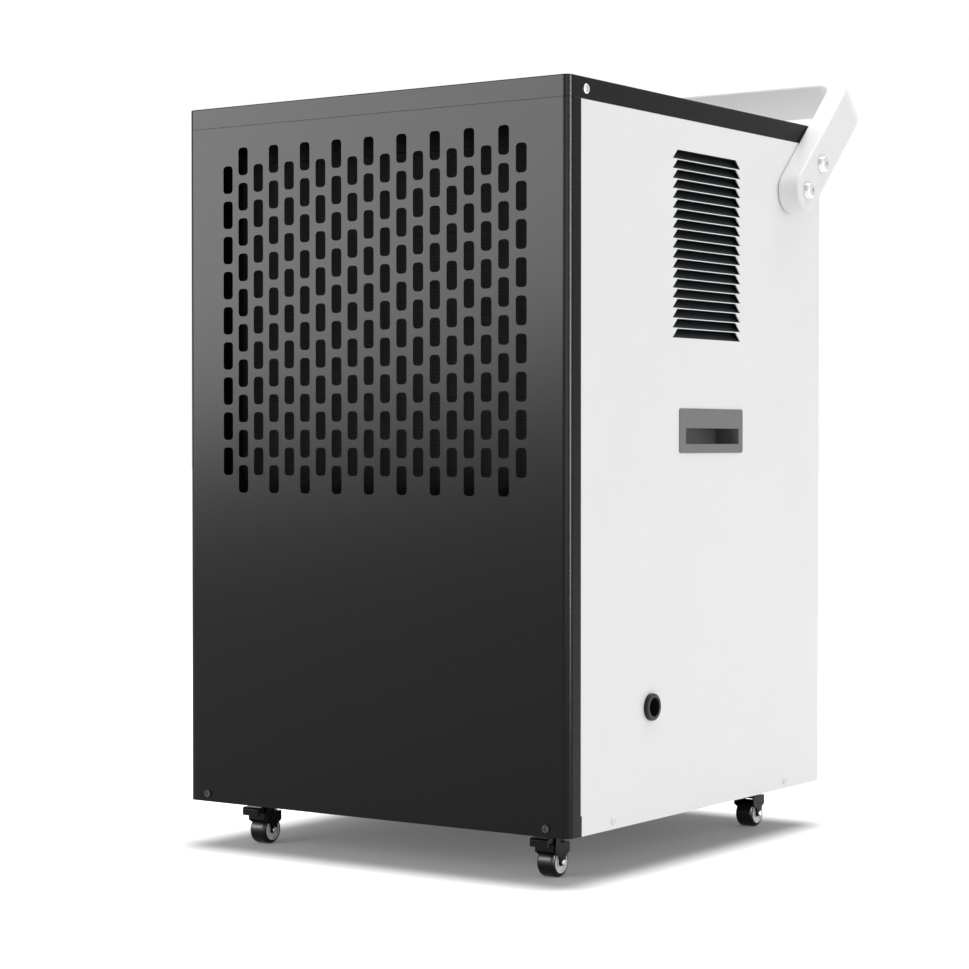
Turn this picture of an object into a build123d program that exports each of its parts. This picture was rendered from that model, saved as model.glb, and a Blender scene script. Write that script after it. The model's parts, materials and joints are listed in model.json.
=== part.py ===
"""Commercial dehumidifier: sheet-metal cabinet on casters, with a push handle behind it.

Millimetres. +Z is up, X runs across the cabinet and +Y towards its back, where the handle is.
The origin is on the floor, under the middle of the whole machine's box.
"""

import os
from math import cos, radians, sin

from build123d import *

os.makedirs("parts", exist_ok=True)

# ------------------------------------------------------------------ driving dimensions
# Cabinet shell
cabinet_width = 525.0
cabinet_depth = 564.0
cabinet_height = 800.0
sheet = 1.2  # thickness of every outer panel
seam = 0.4  # open line between two neighbouring panels
fit = 0.3  # clearance between pieces that seat on each other
front_corner_radius = 8.4
back_corner_radius = 2.0
lid_skirt = 23.2
lid_edge_radius = 1.4
return_depth = 23.2  # how far the front panel wraps round onto each side
foot_tab_depth = 2.0  # the wrap is this much deeper at the very bottom
foot_tab_height = 21.5
lip_height = 30.0  # inner lip of a side panel, behind the lid's skirt
back_flange_width = 20.0

# Slotted pattern of the front panel
slot_width = 13.9
slot_height = 31.5
slot_corner_radius = 4.5
column_pitch = 22.5
row_pitch = 40.25
long_columns = 9  # columns that have the extra slot
rows_in_long_column = 10
pattern_drop = 245.0  # lid top down to the middle of the pattern

# Louvre window of each side panel
louver_count = 19
louver_pitch = 11.07
louver_height = 10.1
louver_top_width = 133.0
louver_base_width = 154.5
louver_y_from_middle = 7.4
louver_drop = 58.3  # lid top down to the first louvre
grille_margin = 9.0
grille_depth = 10.0
grille_blade = 1.2

# Recessed carrying grip of each side panel
grip_width = 144.0
grip_height = 50.3
grip_flange = 1.4
grip_corner_radius = 3.0
pocket_width = 121.0
pocket_height = 17.8
pocket_depth = 30.0
pocket_y_offset = 1.5
pocket_z_offset = -6.0
pocket_corner_radius = 1.5
grip_wall = 2.5
grip_y_from_middle = 16.6
grip_height_above_base = 428.6

# Drain outlet in the right side panel
drain_bore_radius = 10.5
drain_flange_radius = 15.0
drain_flange = 5.0
drain_tube_radius = 12.0
drain_tube_length = 30.0
drain_front_inset = 166.0  # cabinet front to the outlet's axis
drain_height_above_base = 125.0
drain_edge_radius = 1.8

# Push handle
handle_lean = 46.0  # degrees back from upright
handle_reach = 202.0  # lower bolt to the top of the crossbar
handle_width = 50.0
arm_thickness = 27.5
crossbar_thickness = 26.0
handle_outer_radius = 50.0
handle_inner_radius = 16.0
handle_edge_radius = 3.0
lower_bolt_inset = 82.5  # cabinet back to the lower bolt
lower_bolt_drop = 84.6  # lid top to the lower bolt
handle_bolt_spacing = 50.0
handle_bolt_radius = 5.0
handle_bolt_hole_clearance = 0.25
handle_washer_radius = 12.4
handle_washer = 1.6
handle_head_radius = 9.4
handle_head = 4.6
handle_head_dome = 3.0
handle_socket_radius = 3.6
handle_socket_depth = 2.6
weld_nut_radius = 9.0
weld_nut = 10.0

# Casters
wheel_radius = 16.3
wheel_width = 22.5
hub_radius = 11.8
hub_dish = 2.2
hub_rim = 1.6
tyre_shoulder_radius = 4.2
caster_height = 53.3  # floor to the underside of the cabinet
caster_trail = 5.0  # swivel axis behind the wheel's axle
caster_side_inset = 61.5
caster_front_inset = 68.3
caster_back_inset = 56.7
plate_size = 44.0
plate_thickness = 2.0
plate_corner_radius = 4.0
plate_hole_spacing = 32.0
swivel_pin_radius = 4.0
swivel_pin_length = 12.0
swivel_housing_radius = 8.0
running_clearance = 0.05  # radial, of every shaft that turns in a hole
cheek = 1.8
cheek_gap = 0.65  # wheel face to the inside of a fork cheek
cheek_front = 14.0
cheek_front_drop = 8.0  # front corner of a cheek below the hood
cheek_neck = 5.5  # half the cheek's width at the axle
cheek_neck_height = 6.5
cheek_below_axle = 3.5
cheek_corner_radius = 3.0
hood = 2.5
hood_gap = 3.0
ear_height = 6.5  # raised cheeks of a braked fork, above the hood
axle_radius = 2.5
axle_head_radius = 3.6
axle_head = 1.8
pedal_pivot_forward = 10.0
pedal_pivot_above_hood = 2.5
pedal_pin_radius = 1.6
pedal_side_gap = 0.5
pedal_reach = 27.5
pedal_lip = 3.2
pedal_lip_height = 9.5
pedal_blade = 5.0
shoe_gap = 2.8
shoe_front = 15.2
shoe_bottom = 12.5

# Screws
front_screw_inset = 28.4  # from the side of the cabinet
low_screw_height = 9.2
side_screw_front_inset = 87.6
side_screw_back_inset = 87.7
panel_screw_radius = 2.0
panel_screw_head_radius = 4.5
panel_screw_head = 2.2
panel_screw_length = 9.0
machine_screw_radius = 2.5
machine_screw_head_radius = 5.4
machine_screw_head = 2.6
machine_screw_length = 10.0
lid_screw_front_inset = 31.4
lid_screw_drop = 12.9
screw_hole_clearance = 0.15
cross_recess_width = 1.1
cross_recess_depth = 1.0
back_screw_edge = 12.0
back_screw_rows = 4
back_screw_bottom_margin = 60.0
back_screw_top_margin = 30.0

# Control panel, let into the lid
panel_width = 232.0
panel_length = 92.0
panel_corner_radius = 8.0
panel_front_inset = 46.0
panel_sink = 0.6  # below the lid's top face
bezel_flange = 3.0
bezel_flange_margin = 8.0
bezel_post_radius = 3.0
button_radius = 8.0
button_gap = 0.3
button_travel = 1.0
button_proud = 0.3
button_flange_radius = 9.5
button_flange = 1.5
button_stem_radius = 3.0
button_pitch = 23.0
first_button_x = 2.0
window_width = 76.0
window_length = 36.0
window_thickness = 1.5
window_x = -62.0
window_corner_radius = 2.0
board_width = 212.0
board_length = 72.0
board_thickness = 1.6
board_depth = 20.0  # lid top down to the board's upper face
switch_size = 6.0

# Air filter
filter_setback = 29.0  # cabinet front to the filter's front face
filter_thickness = 12.0
filter_border = 15.0
filter_right_border = 20.0
filter_gap = 0.5  # all round, in its slot and rails
filter_rib = 4.0
filter_rib_columns = 4
filter_rib_rows = 4
filter_tab_width = 90.0
filter_tab = 3.0
mesh_thickness = 1.0
rail_wall = 3.0
rail_depth = 9.0

# Air chamber
shelf_drop = 37.4  # underside of the filter's rails down to the shelf's top face
shelf_thickness = 1.5
shelf_flange = 20.0
tray_wall = 1.5
tray_height = 24.0
tray_side_gap = 34.0
tray_spout_margin = 3.0
spout_radius = 12.0
spout_length = 26.0
spout_from_side = 90.0
coil_thickness = 60.0
coil_gap = 6.0
coil_fin = 1.2
coil_fin_pitch = 10.0
coil_core = 8.0
coil_side_gap = 46.0
coil_top_gap = 50.0
coil_end_plate = 2.0
coil_tube_radius = 5.0
coil_bend_radius = 12.5
coil_bends = 7
bulkhead_thickness = 1.5
bulkhead_gap = 10.0  # behind the condenser
bulkhead_top_gap = 2.0
bulkhead_foot = 20.0
inlet_radius = 95.0
inlet_ring = 2.0
inlet_ring_depth = 20.0
fan_drop = 250.0  # lid top to the fan's axis
rotor_radius = 150.0
rotor_eye_radius = 99.0
rotor_plate = 2.0
rotor_width = 84.0
rotor_setback = 14.0  # bulkhead to the rotor's front ring
rotor_blades = 7
rotor_blade = 2.0
rotor_blade_sweep = 38.0  # degrees a blade falls back on its way out
rotor_blade_margin = 2.0
rotor_hub_radius = 26.0
rotor_hub = 22.0
shaft_radius = 6.0
shaft_length = 30.0
motor_radius = 50.0
motor_length = 76.0
motor_front_gap = 9.0
motor_edge_radius = 6.0
motor_bore_depth = 24.0
bracket_width = 130.0
bracket_plate = 3.0
bracket_foot = 60.0
bracket_above_axis = 62.0
bracket_window_radius = 20.0

# Machine compartment
pan_sheet = 2.0
pan_height = 40.0
compressor_x = -20.0
compressor_y_from_middle = 60.0
compressor_radius = 70.0
compressor_height = 235.0
compressor_dome = 24.0
compressor_foot_plate = 4.0
compressor_foot_radius = 90.0
mount_circle_radius = 78.0
mount_radius = 11.0
mount_height = 18.0
mount_neck_radius = 6.5
mount_neck = 8.0
accumulator_radius = 28.0
accumulator_height = 150.0
accumulator_bottom = 75.0
accumulator_dome = 12.0
accumulator_offset = 102.0
accumulator_strap = 16.0
pipe_radius = 5.0
pipe_bend_radius = 20.0
discharge_pipe_rise = 43.0  # compressor's top up to the pipe's long run
suction_pipe_rise = 33.0  # accumulator's top up to the pipe's long run
electrics_width = 140.0
electrics_depth = 110.0
electrics_height = 180.0
electrics_x = -90.0
electrics_back_gap = 18.0
electrics_foot = 10.0
electrics_foot_radius = 7.0
electrics_foot_spacing = 80.0
electrics_lid_seam = 1.5
electrics_lid_depth = 36.0
electrics_corner_radius = 5.0
gland_x = -205.0
gland_height_above_base = 110.0
gland_bore_radius = 4.5
gland_thread_radius = 8.0
gland_nut_across = 22.0
gland_nut = 6.0
gland_dome_radius = 9.5
gland_dome = 13.0
gland_lock_nut = 5.0
hose_wall = 2.4
hose_grip = 12.0
hose_bend_radius = 58.0

# Vent slots in the back panel
vent_rows = 8
vent_pitch = 16.0
vent_width = 90.0
vent_height = 6.0
vent_spacing = 150.0
vent_height_above_base = 215.0

# ------------------------------------------------------------------ places worked out
lean = radians(handle_lean)
front_overhang = panel_screw_head
handle_overhang = (
    (handle_reach - handle_edge_radius) * sin(lean)
    + (handle_width / 2 - handle_edge_radius) * cos(lean)
    + handle_edge_radius
    - lower_bolt_inset
)
front_y = -(front_overhang + cabinet_depth + handle_overhang) / 2 + front_overhang
back_y = front_y + cabinet_depth
middle_y = (front_y + back_y) / 2
half_width = cabinet_width / 2
inner_x = half_width - sheet  # inside face of a side panel
base_z = caster_height
lid_top_z = base_z + cabinet_height
lid_bottom_z = lid_top_z - lid_skirt
lid_inner_z = lid_top_z - sheet
panel_top_z = lid_bottom_z - seam
low_screw_z = base_z + low_screw_height
return_end_y = front_y + return_depth
side_front_y = return_end_y + seam
pan_floor_z = base_z + pan_sheet

SIDES = (("left", -1), ("right", 1))


def cross_recess(radius):
    """Cross-shaped driver recess, for the sketch of a screw head of this radius."""
    Rectangle(1.1 * radius, cross_recess_width)
    Rectangle(cross_recess_width, 1.1 * radius)


# ------------------------------------------------------------------ base pan
caster_x = half_width - caster_side_inset
front_swivel_y = front_y + caster_front_inset
back_swivel_y = back_y - caster_back_inset
SWIVELS = (
    ("front_left", -caster_x, front_swivel_y, True),
    ("front_right", caster_x, front_swivel_y, True),
    ("back_left", -caster_x, back_swivel_y, False),
    ("back_right", caster_x, back_swivel_y, False),
)
swivel_points = [(x, y) for _, x, y, _ in SWIVELS]
side_screw_ys = (front_y + side_screw_front_inset, back_y - side_screw_back_inset)
front_screw_xs = (-half_width + front_screw_inset, half_width - front_screw_inset)
pan_inset = sheet + fit
panel_screw_hole = panel_screw_radius + screw_hole_clearance
machine_screw_hole = machine_screw_radius + screw_hole_clearance

with BuildPart() as base_pan:
    with BuildSketch(Plane.XY.offset(base_z)) as pan_outline:
        with Locations((0, middle_y)):
            Rectangle(cabinet_width - 2 * pan_inset, cabinet_depth - 2 * pan_inset)
        fillet(pan_outline.vertices().group_by(Axis.Y)[0], front_corner_radius - pan_inset)
    extrude(amount=pan_height)
    pan_wall = pan_inset + pan_sheet
    with BuildSketch(Plane.XY.offset(pan_floor_z)) as pan_inside:
        with Locations((0, middle_y)):
            Rectangle(cabinet_width - 2 * pan_wall, cabinet_depth - 2 * pan_wall)
        fillet(pan_inside.vertices().group_by(Axis.Y)[0], front_corner_radius - pan_wall)
    extrude(amount=pan_height, mode=Mode.SUBTRACT)
    with BuildSketch(Plane.XY.offset(base_z)):
        with Locations(*swivel_points):
            with GridLocations(plate_hole_spacing, plate_hole_spacing, 2, 2):
                Circle(machine_screw_hole)
    extrude(amount=pan_sheet, mode=Mode.SUBTRACT)
    with BuildSketch(Plane.YZ):
        with Locations(*[(y, low_screw_z) for y in side_screw_ys]):
            Circle(panel_screw_hole)
    extrude(amount=half_width, both=True, mode=Mode.SUBTRACT)
    with BuildSketch(Plane.XZ.offset(-front_y)):
        with Locations(*[(x, low_screw_z) for x in front_screw_xs]):
            Circle(panel_screw_hole)
    extrude(amount=-pan_wall, mode=Mode.SUBTRACT)
base_pan.part.label = "base_pan"
export_step(base_pan.part, "parts/base_pan.step")

# ------------------------------------------------------------------ front panel
front_panel_height = panel_top_z - base_z
pattern_z = lid_top_z - pattern_drop
short_columns = long_columns + 1

with BuildPart() as front_panel:
    with BuildSketch(Plane.XY.offset(base_z)) as wrap:
        with Locations((0, front_y)):
            Rectangle(cabinet_width, return_depth, align=(Align.CENTER, Align.MIN))
        fillet(wrap.vertices().group_by(Axis.Y)[0], front_corner_radius)
        with BuildSketch(mode=Mode.PRIVATE) as wrap_inside:
            with Locations((0, front_y + sheet)):
                Rectangle(2 * inner_x, return_depth, align=(Align.CENTER, Align.MIN))
            fillet(wrap_inside.vertices().group_by(Axis.Y)[0], front_corner_radius - sheet)
        add(wrap_inside.sketch, mode=Mode.SUBTRACT)
    extrude(amount=front_panel_height)
    with BuildSketch(Plane.XY.offset(base_z)):
        with Locations((-half_width + sheet / 2, return_end_y), (half_width - sheet / 2, return_end_y)):
            Rectangle(sheet, foot_tab_depth, align=(Align.CENTER, Align.MIN))
    extrude(amount=foot_tab_height)
    with BuildSketch(Plane.XZ.offset(-front_y)):
        with Locations((0, pattern_z)):
            with GridLocations(2 * column_pitch, row_pitch, short_columns, rows_in_long_column - 1):
                RectangleRounded(slot_width, slot_height, slot_corner_radius)
            with GridLocations(2 * column_pitch, row_pitch, long_columns, rows_in_long_column):
                RectangleRounded(slot_width, slot_height, slot_corner_radius)
        with Locations(*[(x, low_screw_z) for x in front_screw_xs]):
            Circle(panel_screw_hole)
    extrude(amount=-2 * sheet, mode=Mode.SUBTRACT)
front_panel.part.label = "front_panel"
export_step(front_panel.part, "parts/front_panel.step")

# ------------------------------------------------------------------ lid
panel_y = front_y + panel_front_inset + panel_length / 2
lid_screw_y = front_y + lid_screw_front_inset
lid_screw_z = lid_top_z - lid_screw_drop

with BuildPart() as top_cover:
    with BuildSketch(Plane.XY.offset(lid_bottom_z)) as lid_outline:
        with Locations((0, middle_y)):
            Rectangle(cabinet_width, cabinet_depth)
        fillet(lid_outline.vertices().group_by(Axis.Y)[0], front_corner_radius)
        fillet(lid_outline.vertices().group_by(Axis.Y)[-1], back_corner_radius)
    extrude(amount=lid_skirt)
    fillet(top_cover.faces().sort_by(Axis.Z)[-1].edges(), lid_edge_radius)
    with BuildSketch(Plane.XY.offset(lid_bottom_z)) as lid_inside:
        with Locations((0, middle_y)):
            Rectangle(2 * inner_x, cabinet_depth - 2 * sheet)
        fillet(lid_inside.vertices().group_by(Axis.Y)[0], front_corner_radius - sheet)
    extrude(amount=lid_skirt - sheet, mode=Mode.SUBTRACT)
    with BuildSketch(Plane.XY.offset(lid_top_z)):
        with Locations((0, panel_y)):
            RectangleRounded(panel_width, panel_length, panel_corner_radius)
    extrude(amount=-2 * sheet, mode=Mode.SUBTRACT)
    with BuildSketch(Plane.YZ):
        with Locations((lid_screw_y, lid_screw_z)):
            Circle(machine_screw_hole)
    extrude(amount=half_width, both=True, mode=Mode.SUBTRACT)
top_cover.part.label = "top_cover"
export_step(top_cover.part, "parts/top_cover.step")

# ------------------------------------------------------------------ side panels
louver_y = middle_y + louver_y_from_middle
louver_window_height = (louver_count - 1) * louver_pitch + louver_height
louver_z = lid_top_z - louver_drop - louver_window_height / 2
grip_y = middle_y + grip_y_from_middle
grip_z = base_z + grip_height_above_base
pocket_y = grip_y + pocket_y_offset
pocket_z = grip_z + pocket_z_offset
grip_body_width = pocket_width + 2 * grip_wall
grip_body_height = pocket_height + 2 * grip_wall
lower_bolt_y = back_y - lower_bolt_inset
lower_bolt_z = lid_top_z - lower_bolt_drop
handle_bolt_points = [
    (lower_bolt_y + step * sin(lean), lower_bolt_z + step * cos(lean)) for step in (0, handle_bolt_spacing)
]
handle_bolt_hole = handle_bolt_radius + handle_bolt_hole_clearance
lip_x = inner_x - fit  # outside face of the inner lip
back_flange_y = back_y - sheet - fit
pan_top_z = base_z + pan_height
drain_y = front_y + drain_front_inset
drain_z = base_z + drain_height_above_base
drain_hole_radius = drain_tube_radius + fit
pattern_height = (rows_in_long_column - 1) * row_pitch
filter_front_y = front_y + filter_setback
filter_y = filter_front_y + filter_thickness / 2
filter_height = pattern_height + 2 * filter_border
back_screw_x = inner_x - back_screw_edge
back_screw_low_z = base_z + back_screw_bottom_margin
back_screw_pitch = (panel_top_z - back_screw_top_margin - back_screw_low_z) / (back_screw_rows - 1)
back_screw_points = [
    (side * back_screw_x, back_screw_low_z + row * back_screw_pitch)
    for side in (-1, 1)
    for row in range(back_screw_rows)
]

with BuildPart() as side_blank:
    with BuildSketch(Plane.YZ.offset(half_width)):
        with Locations((side_front_y, base_z)):
            Rectangle(back_y - side_front_y, panel_top_z - base_z, align=(Align.MIN, Align.MIN))
            Rectangle(
                foot_tab_depth,
                foot_tab_height + seam,
                align=(Align.MIN, Align.MIN),
                mode=Mode.SUBTRACT,
            )
    extrude(amount=-sheet)
    lip_top_z = lid_inner_z - fit
    lip_front_y = front_y + front_corner_radius
    lip_length = back_flange_y - sheet - lip_front_y
    with BuildSketch(Plane.YZ.offset(lip_x)):
        with Locations((lip_front_y, lip_top_z - lip_height)):
            Rectangle(lip_length, lip_height, align=(Align.MIN, Align.MIN))
    extrude(amount=-sheet)
    joggle_z = lip_top_z - lip_height
    with BuildSketch(Plane.YZ.offset(inner_x)):
        with Locations((side_front_y, joggle_z)):
            Rectangle(
                back_flange_y - sheet - side_front_y,
                panel_top_z - joggle_z - seam,
                align=(Align.MIN, Align.MIN),
            )
    extrude(amount=-fit)
    with BuildSketch(Plane.XY.offset(pan_top_z + fit)):
        with Locations((inner_x, back_flange_y)):
            Rectangle(back_flange_width, sheet, align=(Align.MAX, Align.MAX))
    extrude(amount=panel_top_z - pan_top_z - fit)
    with BuildSketch(Plane.YZ.offset(inner_x)):
        with Locations(*handle_bolt_points):
            Circle(weld_nut_radius)
    extrude(amount=-weld_nut)
    with BuildSketch(Plane.YZ.offset(half_width)):
        with Locations(*handle_bolt_points):
            Circle(handle_bolt_hole)
    extrude(amount=-weld_nut - sheet, mode=Mode.SUBTRACT)
    with BuildSketch(Plane.YZ.offset(half_width)):
        with Locations((louver_y, louver_z)):
            with GridLocations(louver_pitch, louver_pitch, 1, louver_count):
                Polygon(
                    (-louver_base_width / 2, -louver_height / 2),
                    (louver_base_width / 2, -louver_height / 2),
                    (louver_top_width / 2, louver_height / 2),
                    (-louver_top_width / 2, louver_height / 2),
                )
        with Locations((pocket_y, pocket_z)):
            Rectangle(grip_body_width + 2 * fit, grip_body_height + 2 * fit)
        with Locations(*[(y, low_screw_z) for y in side_screw_ys]):
            Circle(panel_screw_hole)
        with Locations((lid_screw_y, lid_screw_z)):
            Circle(machine_screw_hole)
    extrude(amount=-2 * sheet - fit, mode=Mode.SUBTRACT)
    with BuildSketch(Plane.XZ.offset(-back_flange_y)):
        with Locations(*back_screw_points):
            Circle(panel_screw_hole)
    extrude(amount=sheet, mode=Mode.SUBTRACT)

with BuildPart() as right_side_panel:
    add(side_blank.part)
    with BuildSketch(Plane.YZ.offset(half_width)):
        with Locations((drain_y, drain_z)):
            Circle(drain_hole_radius)
    extrude(amount=-sheet, mode=Mode.SUBTRACT)
right_side_panel.part.label = "right_side_panel"
export_step(right_side_panel.part, "parts/right_side_panel.step")

with BuildPart() as left_side_panel:
    mirror(side_blank.part, about=Plane.YZ)
    with BuildSketch(Plane.YZ.offset(-half_width)):
        with Locations((filter_y, pattern_z)):
            Rectangle(filter_thickness + 2 * filter_gap, filter_height + 2 * filter_gap)
    extrude(amount=sheet, mode=Mode.SUBTRACT)
left_side_panel.part.label = "left_side_panel"
export_step(left_side_panel.part, "parts/left_side_panel.step")

# ------------------------------------------------------------------ back panel
gland_z = base_z + gland_height_above_base
gland_hole_radius = gland_thread_radius + fit
vent_z = base_z + vent_height_above_base

with BuildPart() as back_panel:
    with BuildSketch(Plane.XZ.offset(-back_y)):
        with Locations((0, base_z)):
            Rectangle(2 * (inner_x - fit), panel_top_z - base_z, align=(Align.CENTER, Align.MIN))
        with Locations((0, vent_z)):
            with GridLocations(vent_spacing, vent_pitch, 2, vent_rows):
                SlotOverall(vent_width, vent_height, mode=Mode.SUBTRACT)
        with Locations((gland_x, gland_z)):
            Circle(gland_hole_radius, mode=Mode.SUBTRACT)
        with Locations(*back_screw_points):
            Circle(panel_screw_hole, mode=Mode.SUBTRACT)
    extrude(amount=sheet)
back_panel.part.label = "back_panel"
export_step(back_panel.part, "parts/back_panel.step")

# ------------------------------------------------------------------ louvre grilles and grips
grille_x = inner_x - fit
grille_width = louver_base_width + 2 * grille_margin
grille_height = louver_window_height + 2 * grille_margin

for name, side in SIDES:
    with BuildPart() as louver_grille:
        with BuildSketch(Plane.YZ.offset(side * grille_x)):
            with Locations((louver_y, louver_z)):
                Rectangle(grille_width, grille_height)
                Rectangle(louver_base_width, louver_window_height, mode=Mode.SUBTRACT)
        extrude(amount=-side * grille_depth)
        blade_y = louver_y - louver_base_width / 2 - 1
        with BuildSketch(Plane.XZ.offset(-blade_y)):
            with Locations((0, louver_z)):
                with GridLocations(louver_pitch, louver_pitch, 1, louver_count):
                    Polygon(
                        (side * grille_x, -louver_height / 2 - grille_blade),
                        (side * grille_x, -louver_height / 2),
                        (side * (grille_x - grille_depth), louver_height / 2 + grille_blade),
                        (side * (grille_x - grille_depth), louver_height / 2),
                        align=None,
                    )
        extrude(amount=-louver_base_width - 2)
    louver_grille.part.label = f"{name}_louver_grille"
    export_step(louver_grille.part, f"parts/{name}_louver_grille.step")

    with BuildPart() as grip:
        with BuildSketch(Plane.YZ.offset(side * half_width)):
            with Locations((grip_y, grip_z)):
                RectangleRounded(grip_width, grip_height, grip_corner_radius)
        extrude(amount=side * grip_flange)
        grip_face = grip.faces().sort_by(Axis.X)[0 if side < 0 else -1]
        fillet(grip_face.edges(), grip_flange / 2)
        with BuildSketch(Plane.YZ.offset(side * half_width)):
            with Locations((pocket_y, pocket_z)):
                Rectangle(grip_body_width, grip_body_height)
        extrude(amount=-side * (pocket_depth - grip_flange + grip_wall))
        with BuildSketch(Plane.YZ.offset(side * (half_width + grip_flange))):
            with Locations((pocket_y, pocket_z)):
                RectangleRounded(pocket_width, pocket_height, pocket_corner_radius)
        extrude(amount=-side * pocket_depth, mode=Mode.SUBTRACT)
    grip.part.label = f"{name}_grip"
    export_step(grip.part, f"parts/{name}_grip.step")

# ------------------------------------------------------------------ drain outlet
with BuildPart() as drain_outlet:
    with BuildSketch(Plane.YZ.offset(half_width)):
        with Locations((drain_y, drain_z)):
            Circle(drain_flange_radius)
    extrude(amount=drain_flange)
    fillet(drain_outlet.faces().sort_by(Axis.X)[-1].edges(), drain_edge_radius)
    with BuildSketch(Plane.YZ.offset(half_width)):
        with Locations((drain_y, drain_z)):
            Circle(drain_tube_radius)
    extrude(amount=-drain_tube_length)
    with BuildSketch(Plane.YZ.offset(half_width + drain_flange)):
        with Locations((drain_y, drain_z)):
            Circle(drain_bore_radius)
    extrude(amount=-drain_flange - drain_tube_length, mode=Mode.SUBTRACT)
drain_outlet.part.label = "drain_outlet"
export_step(drain_outlet.part, "parts/drain_outlet.step")

# ------------------------------------------------------------------ cable gland
with BuildPart() as cable_gland:
    with BuildSketch(Plane.XZ.offset(-back_y)):
        with Locations((gland_x, gland_z)):
            RegularPolygon(gland_nut_across / 2, 6, major_radius=False)
    extrude(amount=-gland_nut)
    with BuildSketch(Plane.XZ.offset(-back_y - gland_nut)):
        with Locations((gland_x, gland_z)):
            Circle(gland_dome_radius)
    extrude(amount=-gland_dome, taper=12)
    with BuildSketch(Plane.XZ.offset(-back_y)):
        with Locations((gland_x, gland_z)):
            Circle(gland_thread_radius)
    extrude(amount=sheet + fit + gland_lock_nut)
    with BuildSketch(Plane.XZ.offset(-back_y + sheet + fit)):
        with Locations((gland_x, gland_z)):
            RegularPolygon(gland_nut_across / 2, 6, major_radius=False)
    extrude(amount=gland_lock_nut)
    with BuildSketch(Plane.XZ.offset(-back_y - gland_nut - gland_dome)):
        with Locations((gland_x, gland_z)):
            Circle(gland_bore_radius)
    gland_length = gland_dome + gland_nut + sheet + fit + gland_lock_nut
    extrude(amount=gland_length, mode=Mode.SUBTRACT)
cable_gland.part.label = "cable_gland"
export_step(cable_gland.part, "parts/cable_gland.step")

# ------------------------------------------------------------------ push handle
arm_inner_x = half_width + fit
arm_outer_x = arm_inner_x + arm_thickness
across_handle = Vector(0, cos(lean), -sin(lean))  # from the handle's front face to its back face
handle_plane = Plane(
    origin=(0, lower_bolt_y, lower_bolt_z),
    x_dir=(1, 0, 0),
    z_dir=tuple(-across_handle),
)
arm_side_plane = Plane(
    origin=(0, lower_bolt_y, lower_bolt_z),
    x_dir=tuple(across_handle),
    z_dir=(1, 0, 0),
)

with BuildPart() as push_handle:
    with BuildSketch(handle_plane) as bail:
        with Locations((0, -handle_width / 2)):
            Rectangle(
                2 * arm_outer_x,
                handle_reach + handle_width / 2,
                align=(Align.CENTER, Align.MIN),
            )
        fillet(bail.vertices().group_by(Axis.Y)[-1], handle_outer_radius)
        with BuildSketch(mode=Mode.PRIVATE) as bail_inside:
            with Locations((0, -handle_width / 2)):
                Rectangle(
                    2 * arm_inner_x,
                    handle_reach + handle_width / 2 - crossbar_thickness,
                    align=(Align.CENTER, Align.MIN),
                )
            fillet(bail_inside.vertices().group_by(Axis.Y)[-1], handle_inner_radius)
        add(bail_inside.sketch, mode=Mode.SUBTRACT)
    extrude(amount=handle_width / 2, both=True)
    with BuildSketch(arm_side_plane):
        Circle(handle_width / 2)
        Rectangle(handle_width, handle_reach, align=(Align.CENTER, Align.MIN))
    extrude(amount=arm_outer_x, both=True, mode=Mode.INTERSECT)
    outline_edges = push_handle.edges().filter_by(Axis((0, 0, 0), across_handle), reverse=True)
    arm_end_seams = outline_edges.filter_by(Axis.X).filter_by(lambda edge: edge.length < 2 * arm_thickness)
    fillet(outline_edges - arm_end_seams, handle_edge_radius)
    with BuildSketch(Plane.YZ):
        with Locations(*handle_bolt_points):
            Circle(handle_bolt_hole)
    extrude(amount=arm_outer_x, both=True, mode=Mode.SUBTRACT)
push_handle.part.label = "push_handle"
export_step(push_handle.part, "parts/push_handle.step")

head_x = arm_outer_x + handle_washer
head_end_x = head_x + handle_head
bolt_length = arm_thickness + fit + sheet + weld_nut

with BuildPart() as handle_bolts:
    with BuildSketch(Plane.YZ.offset(arm_outer_x)):
        with Locations(*handle_bolt_points):
            Circle(handle_washer_radius)
    extrude(amount=handle_washer)
    with BuildSketch(Plane.YZ.offset(head_x)):
        with Locations(*handle_bolt_points):
            Circle(handle_head_radius)
    extrude(amount=handle_head)
    fillet(handle_bolts.faces().group_by(Axis.X)[-1].edges(), handle_head_dome)
    with BuildSketch(Plane.YZ.offset(head_end_x)):
        with Locations(*handle_bolt_points):
            RegularPolygon(handle_socket_radius, 6)
    extrude(amount=-handle_socket_depth, mode=Mode.SUBTRACT)
    with BuildSketch(Plane.YZ.offset(arm_outer_x)):
        with Locations(*handle_bolt_points):
            Circle(handle_bolt_radius)
    extrude(amount=-bolt_length)
    mirror(about=Plane.YZ)
handle_bolts.part.label = "handle_bolts"
export_step(handle_bolts.part, "parts/handle_bolts.step")

# ------------------------------------------------------------------ cabinet screws
with BuildPart() as front_screws:
    with BuildSketch(Plane.XZ.offset(-front_y)):
        with Locations(*[(x, low_screw_z) for x in front_screw_xs]):
            Circle(panel_screw_head_radius)
    extrude(amount=panel_screw_head)
    fillet(front_screws.faces().group_by(Axis.Y)[0].edges(), panel_screw_head / 2)
    with BuildSketch(Plane.XZ.offset(-front_y + panel_screw_head)):
        with Locations(*[(x, low_screw_z) for x in front_screw_xs]):
            cross_recess(panel_screw_head_radius)
    extrude(amount=-cross_recess_depth, mode=Mode.SUBTRACT)
    with BuildSketch(Plane.XZ.offset(-front_y)):
        with Locations(*[(x, low_screw_z) for x in front_screw_xs]):
            Circle(panel_screw_radius)
    extrude(amount=-panel_screw_length)
front_screws.part.label = "front_screws"
export_step(front_screws.part, "parts/front_screws.step")

side_screw_points = [(y, low_screw_z) for y in side_screw_ys]
back_shank = sheet + fit + sheet + 4.0

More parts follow.
